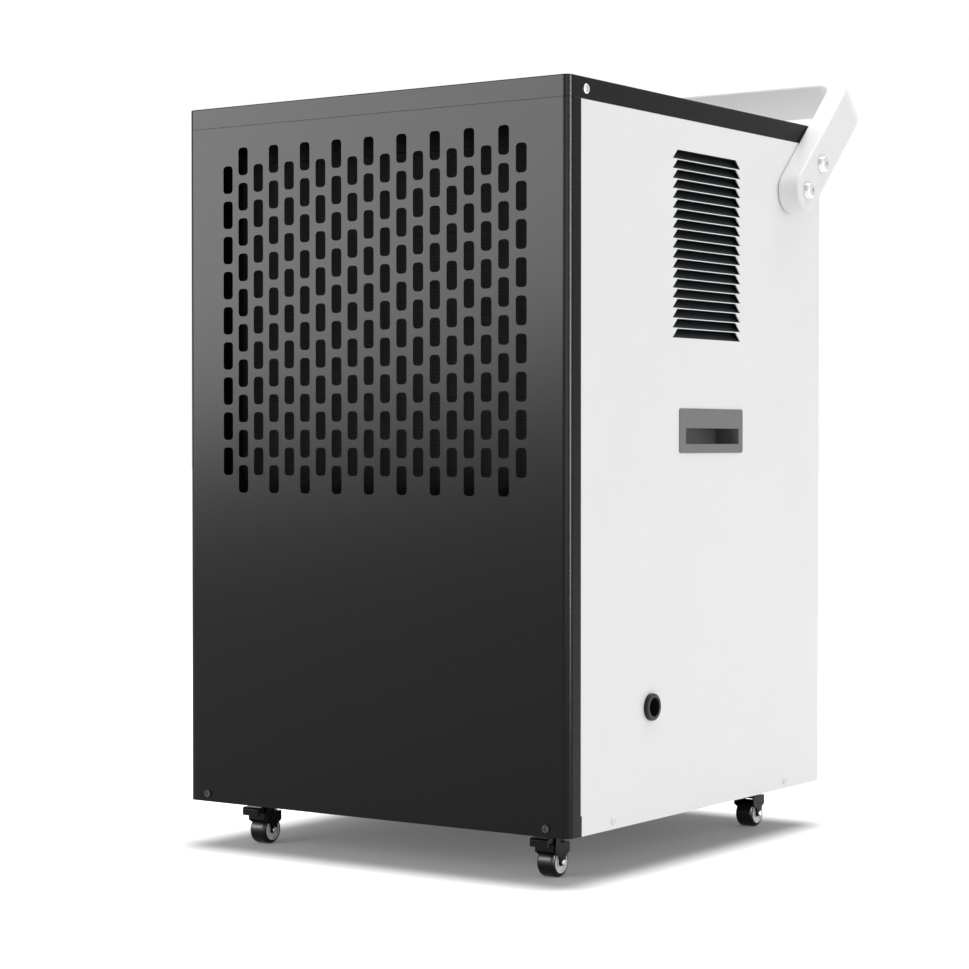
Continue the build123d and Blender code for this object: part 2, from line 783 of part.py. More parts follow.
with BuildPart() as panel_screws:
    with BuildSketch(Plane.YZ.offset(half_width)):
        with Locations(*side_screw_points):
            Circle(panel_screw_head_radius)
    extrude(amount=panel_screw_head)
    fillet(panel_screws.faces().group_by(Axis.X)[-1].edges(), panel_screw_head / 2)
    with BuildSketch(Plane.YZ.offset(half_width + panel_screw_head)):
        with Locations(*side_screw_points):
            cross_recess(panel_screw_head_radius)
    extrude(amount=-cross_recess_depth, mode=Mode.SUBTRACT)
    with BuildSketch(Plane.YZ.offset(half_width)):
        with Locations(*side_screw_points):
            Circle(panel_screw_radius)
    extrude(amount=-panel_screw_length)
    mirror(about=Plane.YZ)
    with BuildSketch(Plane.XZ.offset(-back_y)):
        with Locations(*back_screw_points):
            Circle(panel_screw_head_radius)
    extrude(amount=-panel_screw_head)
    fillet(panel_screws.faces().group_by(Axis.Y)[-1].edges(), panel_screw_head / 2)
    with BuildSketch(Plane.XZ.offset(-back_y - panel_screw_head)):
        with Locations(*back_screw_points):
            cross_recess(panel_screw_head_radius)
    extrude(amount=cross_recess_depth, mode=Mode.SUBTRACT)
    with BuildSketch(Plane.XZ.offset(-back_y)):
        with Locations(*back_screw_points):
            Circle(panel_screw_radius)
    extrude(amount=back_shank)
panel_screws.part.label = "panel_screws"
export_step(panel_screws.part, "parts/panel_screws.step")

# ------------------------------------------------------------------ casters
pin_base_z = base_z - plate_thickness
with BuildPart() as caster_plates:
    with BuildSketch(Plane.XY.offset(base_z)):
        with Locations(*swivel_points):
            RectangleRounded(plate_size, plate_size, plate_corner_radius)
            with GridLocations(plate_hole_spacing, plate_hole_spacing, 2, 2):
                Circle(machine_screw_hole, mode=Mode.SUBTRACT)
    extrude(amount=-plate_thickness)
    with BuildSketch(Plane.XY.offset(pin_base_z)):
        with Locations(*swivel_points):
            Circle(swivel_pin_radius)
    extrude(amount=-swivel_pin_length)
caster_plates.part.label = "caster_plates"
export_step(caster_plates.part, "parts/caster_plates.step")

lid_screw_points = [(lid_screw_y, lid_screw_z)]
with BuildPart() as machine_screws:
    with BuildSketch(Plane.YZ.offset(half_width)):
        with Locations(*lid_screw_points):
            Circle(machine_screw_head_radius)
    extrude(amount=machine_screw_head)
    fillet(machine_screws.faces().group_by(Axis.X)[-1].edges(), machine_screw_head / 2)
    with BuildSketch(Plane.YZ.offset(half_width + machine_screw_head)):
        with Locations(*lid_screw_points):
            cross_recess(machine_screw_head_radius)
    extrude(amount=-cross_recess_depth, mode=Mode.SUBTRACT)
    with BuildSketch(Plane.YZ.offset(half_width)):
        with Locations(*lid_screw_points):
            Circle(machine_screw_radius)
    extrude(amount=-machine_screw_length)
    mirror(about=Plane.YZ)
    with BuildSketch(Plane.XY.offset(pin_base_z)):
        with Locations(*swivel_points):
            with GridLocations(plate_hole_spacing, plate_hole_spacing, 2, 2):
                Circle(machine_screw_head_radius)
    extrude(amount=-machine_screw_head)
    fillet(machine_screws.faces().group_by(Axis.Z)[0].edges(), machine_screw_head / 2)
    with BuildSketch(Plane.XY.offset(pin_base_z)):
        with Locations(*swivel_points):
            with GridLocations(plate_hole_spacing, plate_hole_spacing, 2, 2):
                Circle(machine_screw_radius)
    extrude(amount=machine_screw_length)
machine_screws.part.label = "machine_screws"
export_step(machine_screws.part, "parts/machine_screws.step")

# Heights in a caster, measured up from the wheel's axle
hood_bottom = wheel_radius + hood_gap
hood_top = hood_bottom + hood
ear_top = hood_top + ear_height
housing_top = caster_height - plate_thickness - fit - wheel_radius
cheek_inner = wheel_width / 2 + cheek_gap
cheek_outer = cheek_inner + cheek
fork_back = caster_trail + swivel_housing_radius
ear_back = caster_trail - swivel_housing_radius - 2.0
pivot_height = hood_top + pedal_pivot_above_hood
axle_z = wheel_radius
axle_hole_radius = axle_radius + running_clearance
shoe_radius = wheel_radius + shoe_gap
pedal_back = ear_back - 1.5
pedal_half_width = cheek_inner - pedal_side_gap
pedal_underside = ear_top - pedal_blade
tyre_inner_radius = hub_radius + running_clearance

for name, x, swivel_y, braked in SWIVELS:
    axle_y = swivel_y - caster_trail
    side_plane = Plane(origin=(x, axle_y, axle_z), x_dir=(0, 1, 0), z_dir=(1, 0, 0))

    with BuildPart() as fork:
        with BuildSketch(side_plane):
            with BuildLine():
                Polyline(
                    (-cheek_front, hood_top),
                    (-cheek_front, hood_bottom - cheek_front_drop),
                    (-cheek_neck, cheek_neck_height),
                    (-cheek_neck, -cheek_below_axle),
                    (cheek_neck, -cheek_below_axle),
                    (cheek_neck, cheek_neck_height),
                    (fork_back, hood_bottom - cheek_front_drop),
                    (fork_back, hood_top),
                    close=True,
                )
            make_face()
        extrude(amount=cheek_outer, both=True)
        fillet(fork.edges().filter_by(Axis.X).group_by(Axis.Z)[0], cheek_corner_radius)
        with BuildSketch(side_plane):
            with Locations((0, hood_bottom)):
                Rectangle(4 * wheel_radius, 3 * wheel_radius, align=(Align.CENTER, Align.MAX))
        extrude(amount=cheek_inner, both=True, mode=Mode.SUBTRACT)
        if braked:
            with BuildSketch(side_plane):
                with Locations((-cheek_front, hood_bottom)):
                    Rectangle(cheek_front + ear_back, hood + ear_height, align=(Align.MIN, Align.MIN))
            extrude(amount=cheek_outer, both=True)
            with BuildSketch(side_plane):
                with Locations((ear_back, hood_bottom)):
                    Rectangle(2 * wheel_radius, 2 * ear_top, align=(Align.MAX, Align.MIN))
            extrude(amount=cheek_inner, both=True, mode=Mode.SUBTRACT)
            with BuildSketch(side_plane):
                with Locations((-pedal_pivot_forward, pivot_height)):
                    Circle(pedal_pin_radius + running_clearance)
            extrude(amount=cheek_outer, both=True, mode=Mode.SUBTRACT)
        with BuildSketch(Plane.XY.offset(axle_z + hood_top)):
            with Locations((x, swivel_y)):
                Circle(swivel_housing_radius)
        extrude(amount=housing_top - hood_top)
        with BuildSketch(Plane.XY.offset(axle_z + housing_top)):
            with Locations((x, swivel_y)):
                Circle(swivel_pin_radius + running_clearance)
        extrude(amount=-swivel_pin_length - fit, mode=Mode.SUBTRACT)
        with BuildSketch(side_plane):
            Circle(axle_hole_radius)
        extrude(amount=cheek_outer, both=True, mode=Mode.SUBTRACT)
    fork.part.label = f"{name}_caster_fork"
    export_step(fork.part, f"parts/{name}_caster_fork.step")

    with BuildPart() as axle:
        with BuildSketch(side_plane):
            Circle(axle_radius)
        extrude(amount=cheek_outer, both=True)
        with BuildSketch(side_plane.offset(cheek_outer)):
            Circle(axle_head_radius)
        extrude(amount=axle_head)
        with BuildSketch(side_plane.offset(-cheek_outer)):
            Circle(axle_head_radius)
        extrude(amount=-axle_head)
        fillet(axle.faces().filter_by(Axis.X).sort_by(Axis.X)[0].edges(), axle_head / 2)
        fillet(axle.faces().filter_by(Axis.X).sort_by(Axis.X)[-1].edges(), axle_head / 2)
    axle.part.label = f"{name}_caster_axle"
    export_step(axle.part, f"parts/{name}_caster_axle.step")

    with BuildPart() as hub:
        with BuildSketch(side_plane):
            Circle(hub_radius)
        extrude(amount=wheel_width / 2, both=True)
        for face in (-1, 1):
            with BuildSketch(side_plane.offset(face * wheel_width / 2)):
                Circle(hub_radius - hub_rim)
                Circle(2 * axle_radius, mode=Mode.SUBTRACT)
            extrude(amount=-face * hub_dish, mode=Mode.SUBTRACT)
        with BuildSketch(side_plane):
            Circle(axle_hole_radius)
        extrude(amount=wheel_width / 2, both=True, mode=Mode.SUBTRACT)
    hub.part.label = f"{name}_wheel_hub"
    export_step(hub.part, f"parts/{name}_wheel_hub.step")

    with BuildPart() as tyre:
        with BuildSketch(side_plane):
            Circle(wheel_radius)
        extrude(amount=wheel_width / 2, both=True)
        fillet(tyre.edges(), tyre_shoulder_radius)
        with BuildSketch(side_plane):
            Circle(tyre_inner_radius)
        extrude(amount=wheel_width / 2, both=True, mode=Mode.SUBTRACT)
    tyre.part.label = f"{name}_wheel_tyre"
    export_step(tyre.part, f"parts/{name}_wheel_tyre.step")

    if braked:
        with BuildPart() as pedal:
            with BuildSketch(side_plane) as pedal_profile:
                with BuildLine():
                    Polyline(
                        (pedal_back, ear_top),
                        (-pedal_reach, ear_top),
                        (-pedal_reach, ear_top - pedal_lip_height),
                        (-pedal_reach + pedal_lip, ear_top - pedal_lip_height),
                        (-pedal_reach + pedal_lip, pedal_underside),
                        (-shoe_front, pedal_underside),
                        (-shoe_front, shoe_bottom),
                        (pedal_back, shoe_bottom),
                        close=True,
                    )
                make_face()
                fillet(pedal_profile.vertices().sort_by(Axis.X)[0:2].sort_by(Axis.Y)[-1], pedal_lip)
                Circle(shoe_radius, mode=Mode.SUBTRACT)
            extrude(amount=pedal_half_width, both=True)
            with BuildSketch(side_plane):
                with Locations((-pedal_pivot_forward, pivot_height)):
                    Circle(pedal_pin_radius)
            extrude(amount=cheek_outer, both=True)
        pedal.part.label = f"{name}_brake_pedal"
        export_step(pedal.part, f"parts/{name}_brake_pedal.step")

# ------------------------------------------------------------------ control panel
panel_face_z = lid_top_z - panel_sink
bezel_z = lid_inner_z - fit - bezel_flange
board_z = lid_top_z - board_depth
bezel_width = panel_width + 2 * bezel_flange_margin
bezel_length = panel_length + 2 * bezel_flange_margin
button_top_z = panel_face_z + button_proud
button_hole_radius = button_radius + button_gap
switch_top_z = bezel_z - button_flange - 5.0
BUTTONS = ("power", "mode", "timer", "down", "up")
button_points = [(first_button_x + step * button_pitch, panel_y) for step in range(len(BUTTONS))]
board_corners = (board_width - 4 * bezel_post_radius, board_length - 4 * bezel_post_radius)

with BuildPart() as control_bezel:
    with BuildSketch(Plane.XY.offset(bezel_z)):
        with Locations((0, panel_y)):
            RectangleRounded(bezel_width, bezel_length, panel_corner_radius)
    extrude(amount=bezel_flange)
    with BuildSketch(Plane.XY.offset(bezel_z + bezel_flange)):
        with Locations((0, panel_y)):
            RectangleRounded(panel_width - 2 * fit, panel_length - 2 * fit, panel_corner_radius - fit)
    extrude(amount=panel_face_z - bezel_z - bezel_flange)
    with BuildSketch(Plane.XY.offset(board_z + fit)):
        with Locations((0, panel_y)):
            with GridLocations(*board_corners, 2, 2):
                Circle(bezel_post_radius)
    extrude(amount=bezel_z - board_z - fit)
    with BuildSketch(Plane.XY.offset(panel_face_z)):
        with Locations((window_x, panel_y)):
            RectangleRounded(
                window_width + 2 * fit,
                window_length + 2 * fit,
                window_corner_radius + fit,
            )
    extrude(amount=-window_thickness, mode=Mode.SUBTRACT)
    with BuildSketch(Plane.XY.offset(panel_face_z)):
        with Locations(*button_points):
            Circle(button_hole_radius)
    extrude(amount=bezel_z - panel_face_z, mode=Mode.SUBTRACT)
control_bezel.part.label = "control_bezel"
export_step(control_bezel.part, "parts/control_bezel.step")

with BuildPart() as display_window:
    with BuildSketch(Plane.XY.offset(panel_face_z)):
        with Locations((window_x, panel_y)):
            RectangleRounded(window_width, window_length, window_corner_radius)
    extrude(amount=-window_thickness)
display_window.part.label = "display_window"
export_step(display_window.part, "parts/display_window.step")

for name, point in zip(BUTTONS, button_points):
    with BuildPart() as button:
        with BuildSketch(Plane.XY.offset(button_top_z)):
            with Locations(point):
                Circle(button_radius)
        extrude(amount=bezel_z - fit - button_top_z)
        fillet(button.faces().sort_by(Axis.Z)[-1].edges(), button_proud + 0.3)
        with BuildSketch(Plane.XY.offset(bezel_z - fit)):
            with Locations(point):
                Circle(button_flange_radius)
        extrude(amount=-button_flange)
        stem_z = switch_top_z + button_travel + fit
        with BuildSketch(Plane.XY.offset(stem_z)):
            with Locations(point):
                Circle(button_stem_radius)
        extrude(amount=bezel_z - fit - button_flange - stem_z)
    button.part.label = f"{name}_button"
    export_step(button.part, f"parts/{name}_button.step")

with BuildPart() as control_board:
    with BuildSketch(Plane.XY.offset(board_z)):
        with Locations((0, panel_y)):
            Rectangle(board_width, board_length)
    extrude(amount=-board_thickness)
    with BuildSketch(Plane.XY.offset(board_z)):
        with Locations(*button_points):
            Rectangle(switch_size, switch_size)
    extrude(amount=switch_top_z - board_z)
control_board.part.label = "control_board"
export_step(control_board.part, "parts/control_board.step")

# ------------------------------------------------------------------ air filter and its rails
mesh_width = (2 * long_columns) * column_pitch + slot_width
filter_left_x = -half_width
filter_right_x = mesh_width / 2 + filter_right_border
filter_bottom_z = pattern_z - filter_height / 2
filter_top_z = pattern_z + filter_height / 2
filter_mid_x = (filter_left_x + filter_right_x) / 2
rib_x_pitch = mesh_width / filter_rib_columns
rib_z_pitch = pattern_height / filter_rib_rows
filter_back_y = filter_front_y + filter_thickness
mesh_y = filter_y - mesh_thickness / 2

with BuildPart() as filter_frame:
    with BuildSketch(Plane.XZ.offset(-filter_front_y)):
        with Locations((filter_mid_x, pattern_z)):
            Rectangle(filter_right_x - filter_left_x, filter_height)
        with Locations((0, pattern_z)):
            Rectangle(mesh_width, pattern_height, mode=Mode.SUBTRACT)
    extrude(amount=-filter_thickness)
    with BuildSketch(Plane.XZ.offset(-filter_back_y)):
        with Locations((0, pattern_z)):
            with GridLocations(rib_x_pitch, 1, filter_rib_columns - 1, 1):
                Rectangle(filter_rib, pattern_height)
            with GridLocations(1, rib_z_pitch, 1, filter_rib_rows - 1):
                Rectangle(mesh_width, filter_rib)
    extrude(amount=filter_back_y - mesh_y - mesh_thickness - fit)
    with BuildSketch(Plane.YZ.offset(filter_left_x)):
        with Locations((filter_y, pattern_z)):
            Rectangle(filter_thickness / 2, filter_tab_width)
    extrude(amount=-filter_tab)
    fillet(filter_frame.faces().sort_by(Axis.X)[0].edges(), filter_tab / 3)
filter_frame.part.label = "filter_frame"
export_step(filter_frame.part, "parts/filter_frame.step")

with BuildPart() as filter_mesh:
    with BuildSketch(Plane.XZ.offset(-mesh_y)):
        with Locations((0, pattern_z)):
            Rectangle(mesh_width - fit, pattern_height - fit)
    extrude(amount=-mesh_thickness)
filter_mesh.part.label = "filter_mesh"
export_step(filter_mesh.part, "parts/filter_mesh.step")

rail_x = inner_x - fit
rail_width = filter_thickness + 2 * filter_gap + 2 * rail_wall
rail_bottom_z = filter_bottom_z - filter_gap - rail_wall
rail_top_z = filter_top_z + filter_gap + rail_wall
channel_width = filter_thickness + 2 * filter_gap

with BuildPart() as filter_rails:
    with BuildSketch(Plane.YZ.offset(-rail_x)):
        with Locations((filter_y, rail_bottom_z)):
            Rectangle(rail_width, rail_wall + rail_depth, align=(Align.CENTER, Align.MIN))
        with Locations((filter_y, rail_top_z)):
            Rectangle(rail_width, rail_wall + rail_depth, align=(Align.CENTER, Align.MAX))
        with Locations((filter_y, pattern_z)):
            Rectangle(channel_width, filter_height + 2 * filter_gap, mode=Mode.SUBTRACT)
    extrude(amount=2 * rail_x)
filter_rails.part.label = "filter_rails"
export_step(filter_rails.part, "parts/filter_rails.step")

# ------------------------------------------------------------------ shelf, drip tray and drain hose
shelf_x = inner_x - fit
shelf_front_y = front_y + sheet + fit
shelf_corner_radius = front_corner_radius - sheet - fit
shelf_back_y = back_flange_y - sheet - fit
tray_front_y = filter_y + rail_width / 2 + fit
coil_front_y = tray_front_y + tray_wall + fit
coil_back_y = coil_front_y + 2 * coil_thickness + coil_gap
tray_back_y = drain_y + spout_radius + tray_spout_margin
tray_x = half_width - tray_side_gap
shelf_z = rail_bottom_z - shelf_drop
tray_z = shelf_z
spout_x = half_width - spout_from_side
discharge_x = -(half_width + tray_x) / 2
condenser_front_y = coil_front_y + coil_thickness + coil_gap
evaporator_mid_y = coil_front_y + coil_thickness / 2
condenser_mid_y = condenser_front_y + coil_thickness / 2
pipe_hole_radius = pipe_radius + 1.0

with BuildPart() as mid_shelf:
    with BuildSketch(Plane.XY.offset(shelf_z - shelf_flange)) as shelf_outline:
        with Locations((0, shelf_front_y)):
            Rectangle(2 * shelf_x, shelf_back_y - shelf_front_y, align=(Align.CENTER, Align.MIN))
        fillet(shelf_outline.vertices().group_by(Axis.Y)[0], shelf_corner_radius)
    extrude(amount=shelf_flange)
    with BuildSketch(Plane.XY.offset(shelf_z - shelf_flange)) as shelf_inside:
        with Locations((0, shelf_front_y + shelf_thickness)):
            Rectangle(
                2 * (shelf_x - shelf_thickness),
                shelf_back_y - shelf_front_y - 2 * shelf_thickness,
                align=(Align.CENTER, Align.MIN),
            )
        fillet(shelf_inside.vertices().group_by(Axis.Y)[0], shelf_corner_radius - shelf_thickness)
    extrude(amount=shelf_flange - shelf_thickness, mode=Mode.SUBTRACT)
    with BuildSketch(Plane.XY.offset(shelf_z)):
        with Locations((spout_x, drain_y)):
            Circle(spout_radius + 2 * fit)
        with Locations((discharge_x, evaporator_mid_y), (discharge_x, condenser_mid_y)):
            Circle(pipe_hole_radius)
    extrude(amount=-shelf_thickness, mode=Mode.SUBTRACT)
mid_shelf.part.label = "mid_shelf"
export_step(mid_shelf.part, "parts/mid_shelf.step")

with BuildPart() as drip_tray:
    with BuildSketch(Plane.XY.offset(tray_z)):
        with Locations((0, tray_front_y)):
            Rectangle(2 * tray_x, tray_back_y - tray_front_y, align=(Align.CENTER, Align.MIN))
    extrude(amount=tray_height)
    with BuildSketch(Plane.XY.offset(tray_z + tray_wall)):
        with Locations((0, tray_front_y + tray_wall)):
            Rectangle(
                2 * (tray_x - tray_wall),
                tray_back_y - tray_front_y - 2 * tray_wall,
                align=(Align.CENTER, Align.MIN),
            )
    extrude(amount=tray_height, mode=Mode.SUBTRACT)
    with BuildSketch(Plane.XY.offset(tray_z)):
        with Locations((spout_x, drain_y)):
            Circle(spout_radius)
    extrude(amount=-spout_length)
    with BuildSketch(Plane.XY.offset(tray_z + tray_wall)):
        with Locations((spout_x, drain_y)):
            Circle(spout_radius - tray_wall)
    extrude(amount=-spout_length - tray_wall, mode=Mode.SUBTRACT)
drip_tray.part.label = "drip_tray"
export_step(drip_tray.part, "parts/drip_tray.step")

hose_inner_radius = spout_radius + running_clearance
hose_top_z = tray_z - spout_length + hose_grip
hose_end_x = half_width - drain_tube_length + hose_grip

with BuildPart() as drain_hose:
    with BuildLine():
        FilletPolyline(
            (spout_x, drain_y, hose_top_z),
            (spout_x, drain_y, drain_z),
            (hose_end_x, drain_y, drain_z),
            radius=hose_bend_radius,
        )
    with BuildSketch(Plane(origin=(spout_x, drain_y, hose_top_z), z_dir=(0, 0, -1))):
        Circle(hose_inner_radius + hose_wall)
        Circle(hose_inner_radius, mode=Mode.SUBTRACT)
    sweep()
drain_hose.part.label = "drain_hose"
export_step(drain_hose.part, "parts/drain_hose.step")

# ------------------------------------------------------------------ evaporator and condenser
coil_x = half_width - coil_side_gap
coil_end_x = coil_x + coil_end_plate / 2
coil_bottom_z = tray_z + tray_wall + fit
coil_core_z = coil_bottom_z + tray_height
coil_top_z = lid_top_z - coil_top_gap
coil_fins = int(2 * coil_x // coil_fin_pitch)
bend_pitch = (coil_top_z - coil_core_z) / coil_bends
first_bend_z = coil_core_z + bend_pitch / 2
bend_zs = [first_bend_z + step * bend_pitch for step in range(coil_bends)]

for name, coil_y in (("evaporator", evaporator_mid_y), ("condenser", condenser_mid_y)):
    with BuildPart() as coil:
        with BuildSketch(Plane.XY.offset(coil_core_z)):
            with Locations((0, coil_y)):
                Rectangle(2 * coil_x, coil_core)
                with GridLocations(coil_fin_pitch, 1, coil_fins, 1):
                    Rectangle(coil_fin, coil_thickness)
        extrude(amount=coil_top_z - coil_core_z)
        with BuildSketch(Plane.XY.offset(coil_bottom_z)):
            with Locations((-coil_x, coil_y), (coil_x, coil_y)):
                Rectangle(coil_end_plate, coil_thickness)
        extrude(amount=coil_top_z - coil_bottom_z)
        for _, side in SIDES:
            with BuildSketch(Plane.YZ.offset(side * coil_end_x)):
                with Locations(*[(coil_y + coil_bend_radius, z) for z in bend_zs]):
                    Circle(coil_tube_radius)
            bend_axis = Axis((side * coil_end_x, coil_y, 0), (0, 0, 1))
            revolve(axis=bend_axis, revolution_arc=-180 * side)
    coil.part.label = name
    export_step(coil.part, f"parts/{name}.step")

# ------------------------------------------------------------------ fan
bulkhead_y = coil_back_y + bulkhead_gap
bulkhead_x = lip_x - sheet - fit
bulkhead_top_z = lid_inner_z - bulkhead_top_gap
fan_z = lid_top_z - fan_drop
rotor_y = bulkhead_y + rotor_setback
rotor_back_y = rotor_y + rotor_width
motor_y = rotor_back_y + motor_front_gap
motor_back_y = motor_y + motor_length
rotor_plane = Plane(origin=(0, rotor_y, fan_z), x_dir=(-1, 0, 0), z_dir=(0, 1, 0))
blade_in = rotor_eye_radius + rotor_blade_margin
blade_out = rotor_radius - rotor_blade_margin
blade_mid = (blade_in + blade_out) / 2
blade_sweep = radians(rotor_blade_sweep)
blade_bow = blade_sweep / 3

with BuildPart() as fan_bulkhead:
    with BuildSketch(Plane.XZ.offset(-bulkhead_y)):
        with Locations((0, shelf_z)):
            Rectangle(2 * bulkhead_x, bulkhead_top_z - shelf_z, align=(Align.CENTER, Align.MIN))
        with Locations((0, fan_z)):
            Circle(inlet_radius, mode=Mode.SUBTRACT)
    extrude(amount=-bulkhead_thickness)
    with BuildSketch(Plane.XZ.offset(-bulkhead_y)):
        with Locations((0, fan_z)):
            Circle(inlet_radius + inlet_ring)
            Circle(inlet_radius, mode=Mode.SUBTRACT)
    extrude(amount=-inlet_ring_depth)
    with BuildSketch(Plane.XY.offset(shelf_z)):
        with Locations((0, bulkhead_y)):
            Rectangle(2 * bulkhead_x, bulkhead_foot, align=(Align.CENTER, Align.MIN))
    extrude(amount=bulkhead_thickness)
fan_bulkhead.part.label = "fan_bulkhead"
export_step(fan_bulkhead.part, "parts/fan_bulkhead.step")

with BuildPart() as fan_rotor:
    with BuildSketch(rotor_plane):
        Circle(rotor_radius)
        Circle(rotor_eye_radius, mode=Mode.SUBTRACT)
    extrude(amount=rotor_plate)
    with BuildSketch(rotor_plane.offset(rotor_width)):
        Circle(rotor_radius)
    extrude(amount=-rotor_plate)
    with BuildSketch(rotor_plane.offset(rotor_plate / 2)):
        with BuildSketch(mode=Mode.PRIVATE) as blade:
            with BuildLine():
                ThreePointArc(
                    (blade_in, 0),
                    (blade_mid * cos(blade_bow), blade_mid * sin(blade_bow)),
                    (blade_out * cos(blade_sweep), blade_out * sin(blade_sweep)),
                )
            trace(line_width=rotor_blade)
        with PolarLocations(0, rotor_blades):
            add(blade.sketch)
    extrude(amount=rotor_width - rotor_plate)
    with BuildSketch(rotor_plane.offset(rotor_width)):
        Circle(rotor_hub_radius)
    extrude(amount=-rotor_hub)
    with BuildSketch(rotor_plane.offset(rotor_width)):
        Circle(shaft_radius)
    extrude(amount=shaft_length)
fan_rotor.part.label = "fan_rotor"
export_step(fan_rotor.part, "parts/fan_rotor.step")

with BuildPart() as fan_motor:
    with BuildSketch(Plane.XZ.offset(-motor_y)):
        with Locations((0, fan_z)):
            Circle(motor_radius)
    extrude(amount=-motor_length)
    fillet(fan_motor.edges(), motor_edge_radius)
    with BuildSketch(Plane.XZ.offset(-motor_y)):
        with Locations((0, fan_z)):
            Circle(shaft_radius + running_clearance)
    extrude(amount=-motor_bore_depth, mode=Mode.SUBTRACT)
fan_motor.part.label = "fan_motor"
export_step(fan_motor.part, "parts/fan_motor.step")

bracket_y = motor_back_y + fit
bracket_height = fan_z + bracket_above_axis - shelf_z

with BuildPart() as motor_bracket:
    with BuildSketch(Plane.XZ.offset(-bracket_y)):
        with Locations((0, shelf_z)):
            Rectangle(bracket_width, bracket_height, align=(Align.CENTER, Align.MIN))
        with Locations((0, fan_z)):
            Circle(bracket_window_radius, mode=Mode.SUBTRACT)
    extrude(amount=-bracket_plate)
    with BuildSketch(Plane.XY.offset(shelf_z)):
        with Locations((0, bracket_y)):
            Rectangle(bracket_width, bracket_foot, align=(Align.CENTER, Align.MIN))
    extrude(amount=bracket_plate)
motor_bracket.part.label = "motor_bracket"
export_step(motor_bracket.part, "parts/motor_bracket.step")

# ------------------------------------------------------------------ compressor
compressor_y = middle_y + compressor_y_from_middle
compressor_z = pan_floor_z + mount_height
compressor_top_z = compressor_z + compressor_height
accumulator_x = compressor_x + accumulator_offset
accumulator_z = compressor_z + accumulator_bottom
accumulator_top_z = accumulator_z + accumulator_height
strap_z = accumulator_z + accumulator_height / 2

with BuildPart() as compressor:
    with BuildSketch(Plane.XY.offset(compressor_z)):
        with Locations((compressor_x, compressor_y)):
            Circle(compressor_radius)
    extrude(amount=compressor_height)
    fillet(compressor.faces().sort_by(Axis.Z)[-1].edges(), compressor_dome)
    with BuildSketch(Plane.XY.offset(compressor_z)):
        with Locations((compressor_x, compressor_y)):
            Circle(compressor_foot_radius)
            with PolarLocations(mount_circle_radius, 3, start_angle=90):
                Circle(mount_neck_radius + fit, mode=Mode.SUBTRACT)
    extrude(amount=compressor_foot_plate)
    with BuildSketch(Plane.XY.offset(accumulator_z)):
        with Locations((accumulator_x, compressor_y)):
            Circle(accumulator_radius)
    extrude(amount=accumulator_height)
    fillet(compressor.edges(Select.LAST).filter_by(GeomType.CIRCLE), accumulator_dome)
    with BuildSketch(Plane.XY.offset(strap_z)):
        with Locations((compressor_x, compressor_y)):
            Rectangle(accumulator_offset, accumulator_strap, align=(Align.MIN, Align.CENTER))
    extrude(amount=accumulator_strap)
compressor.part.label = "compressor"
export_step(compressor.part, "parts/compressor.step")

with BuildPart() as compressor_mounts:
    with BuildSketch(Plane.XY.offset(pan_floor_z)):
        with Locations((compressor_x, compressor_y)):
            with PolarLocations(mount_circle_radius, 3, start_angle=90):
                Circle(mount_radius)
    extrude(amount=mount_height)
    with BuildSketch(Plane.XY.offset(compressor_z)):
        with Locations((compressor_x, compressor_y)):
            with PolarLocations(mount_circle_radius, 3, start_angle=90):
                Circle(mount_neck_radius)
    extrude(amount=mount_neck)
compressor_mounts.part.label = "compressor_mounts"
export_step(compressor_mounts.part, "parts/compressor_mounts.step")

# ------------------------------------------------------------------ refrigerant pipes
coil_inlet_z = first_bend_z + bend_pitch / 2
discharge_z = compressor_top_z + discharge_pipe_rise
suction_z = accumulator_top_z + suction_pipe_rise
capillary_x = -discharge_x
PIPE_ROUTES = (
    (
        (compressor_x, compressor_y, compressor_top_z),
        (compressor_x, compressor_y, discharge_z),
        (discharge_x, compressor_y, discharge_z),
        (discharge_x, condenser_mid_y, discharge_z),
        (discharge_x, condenser_mid_y, coil_inlet_z),
        (-coil_end_x, condenser_mid_y, coil_inlet_z),
    ),
    (
        (accumulator_x, compressor_y, accumulator_top_z),
        (accumulator_x, compressor_y, suction_z),
        (accumulator_x, evaporator_mid_y, suction_z),
        (discharge_x, evaporator_mid_y, suction_z),
        (discharge_x, evaporator_mid_y, coil_inlet_z),
        (-coil_end_x, evaporator_mid_y, coil_inlet_z),
    ),
)

with BuildPart() as refrigerant_pipes:
    for route in PIPE_ROUTES:
        with BuildLine():
            FilletPolyline(*route, radius=pipe_bend_radius)
        with BuildSketch(Plane(origin=route[0])):
            Circle(pipe_radius)
        sweep()
    with BuildLine():
        FilletPolyline(
            (coil_end_x, evaporator_mid_y, coil_inlet_z),
            (capillary_x, evaporator_mid_y, coil_inlet_z),
            (capillary_x, condenser_mid_y, coil_inlet_z),
            (coil_end_x, condenser_mid_y, coil_inlet_z),
            radius=pipe_bend_radius,
        )
    with BuildSketch(Plane.YZ.offset(coil_end_x)):
        with Locations((evaporator_mid_y, coil_inlet_z)):
            Circle(pipe_radius)
    sweep()
refrigerant_pipes.part.label = "refrigerant_pipes"
export_step(refrigerant_pipes.part, "parts/refrigerant_pipes.step")

# ------------------------------------------------------------------ electrical box
electrics_y = back_y - sheet - electrics_back_gap - electrics_depth / 2
electrics_z = pan_floor_z + electrics_foot
electrics_seam_z = electrics_z + electrics_height - electrics_lid_depth

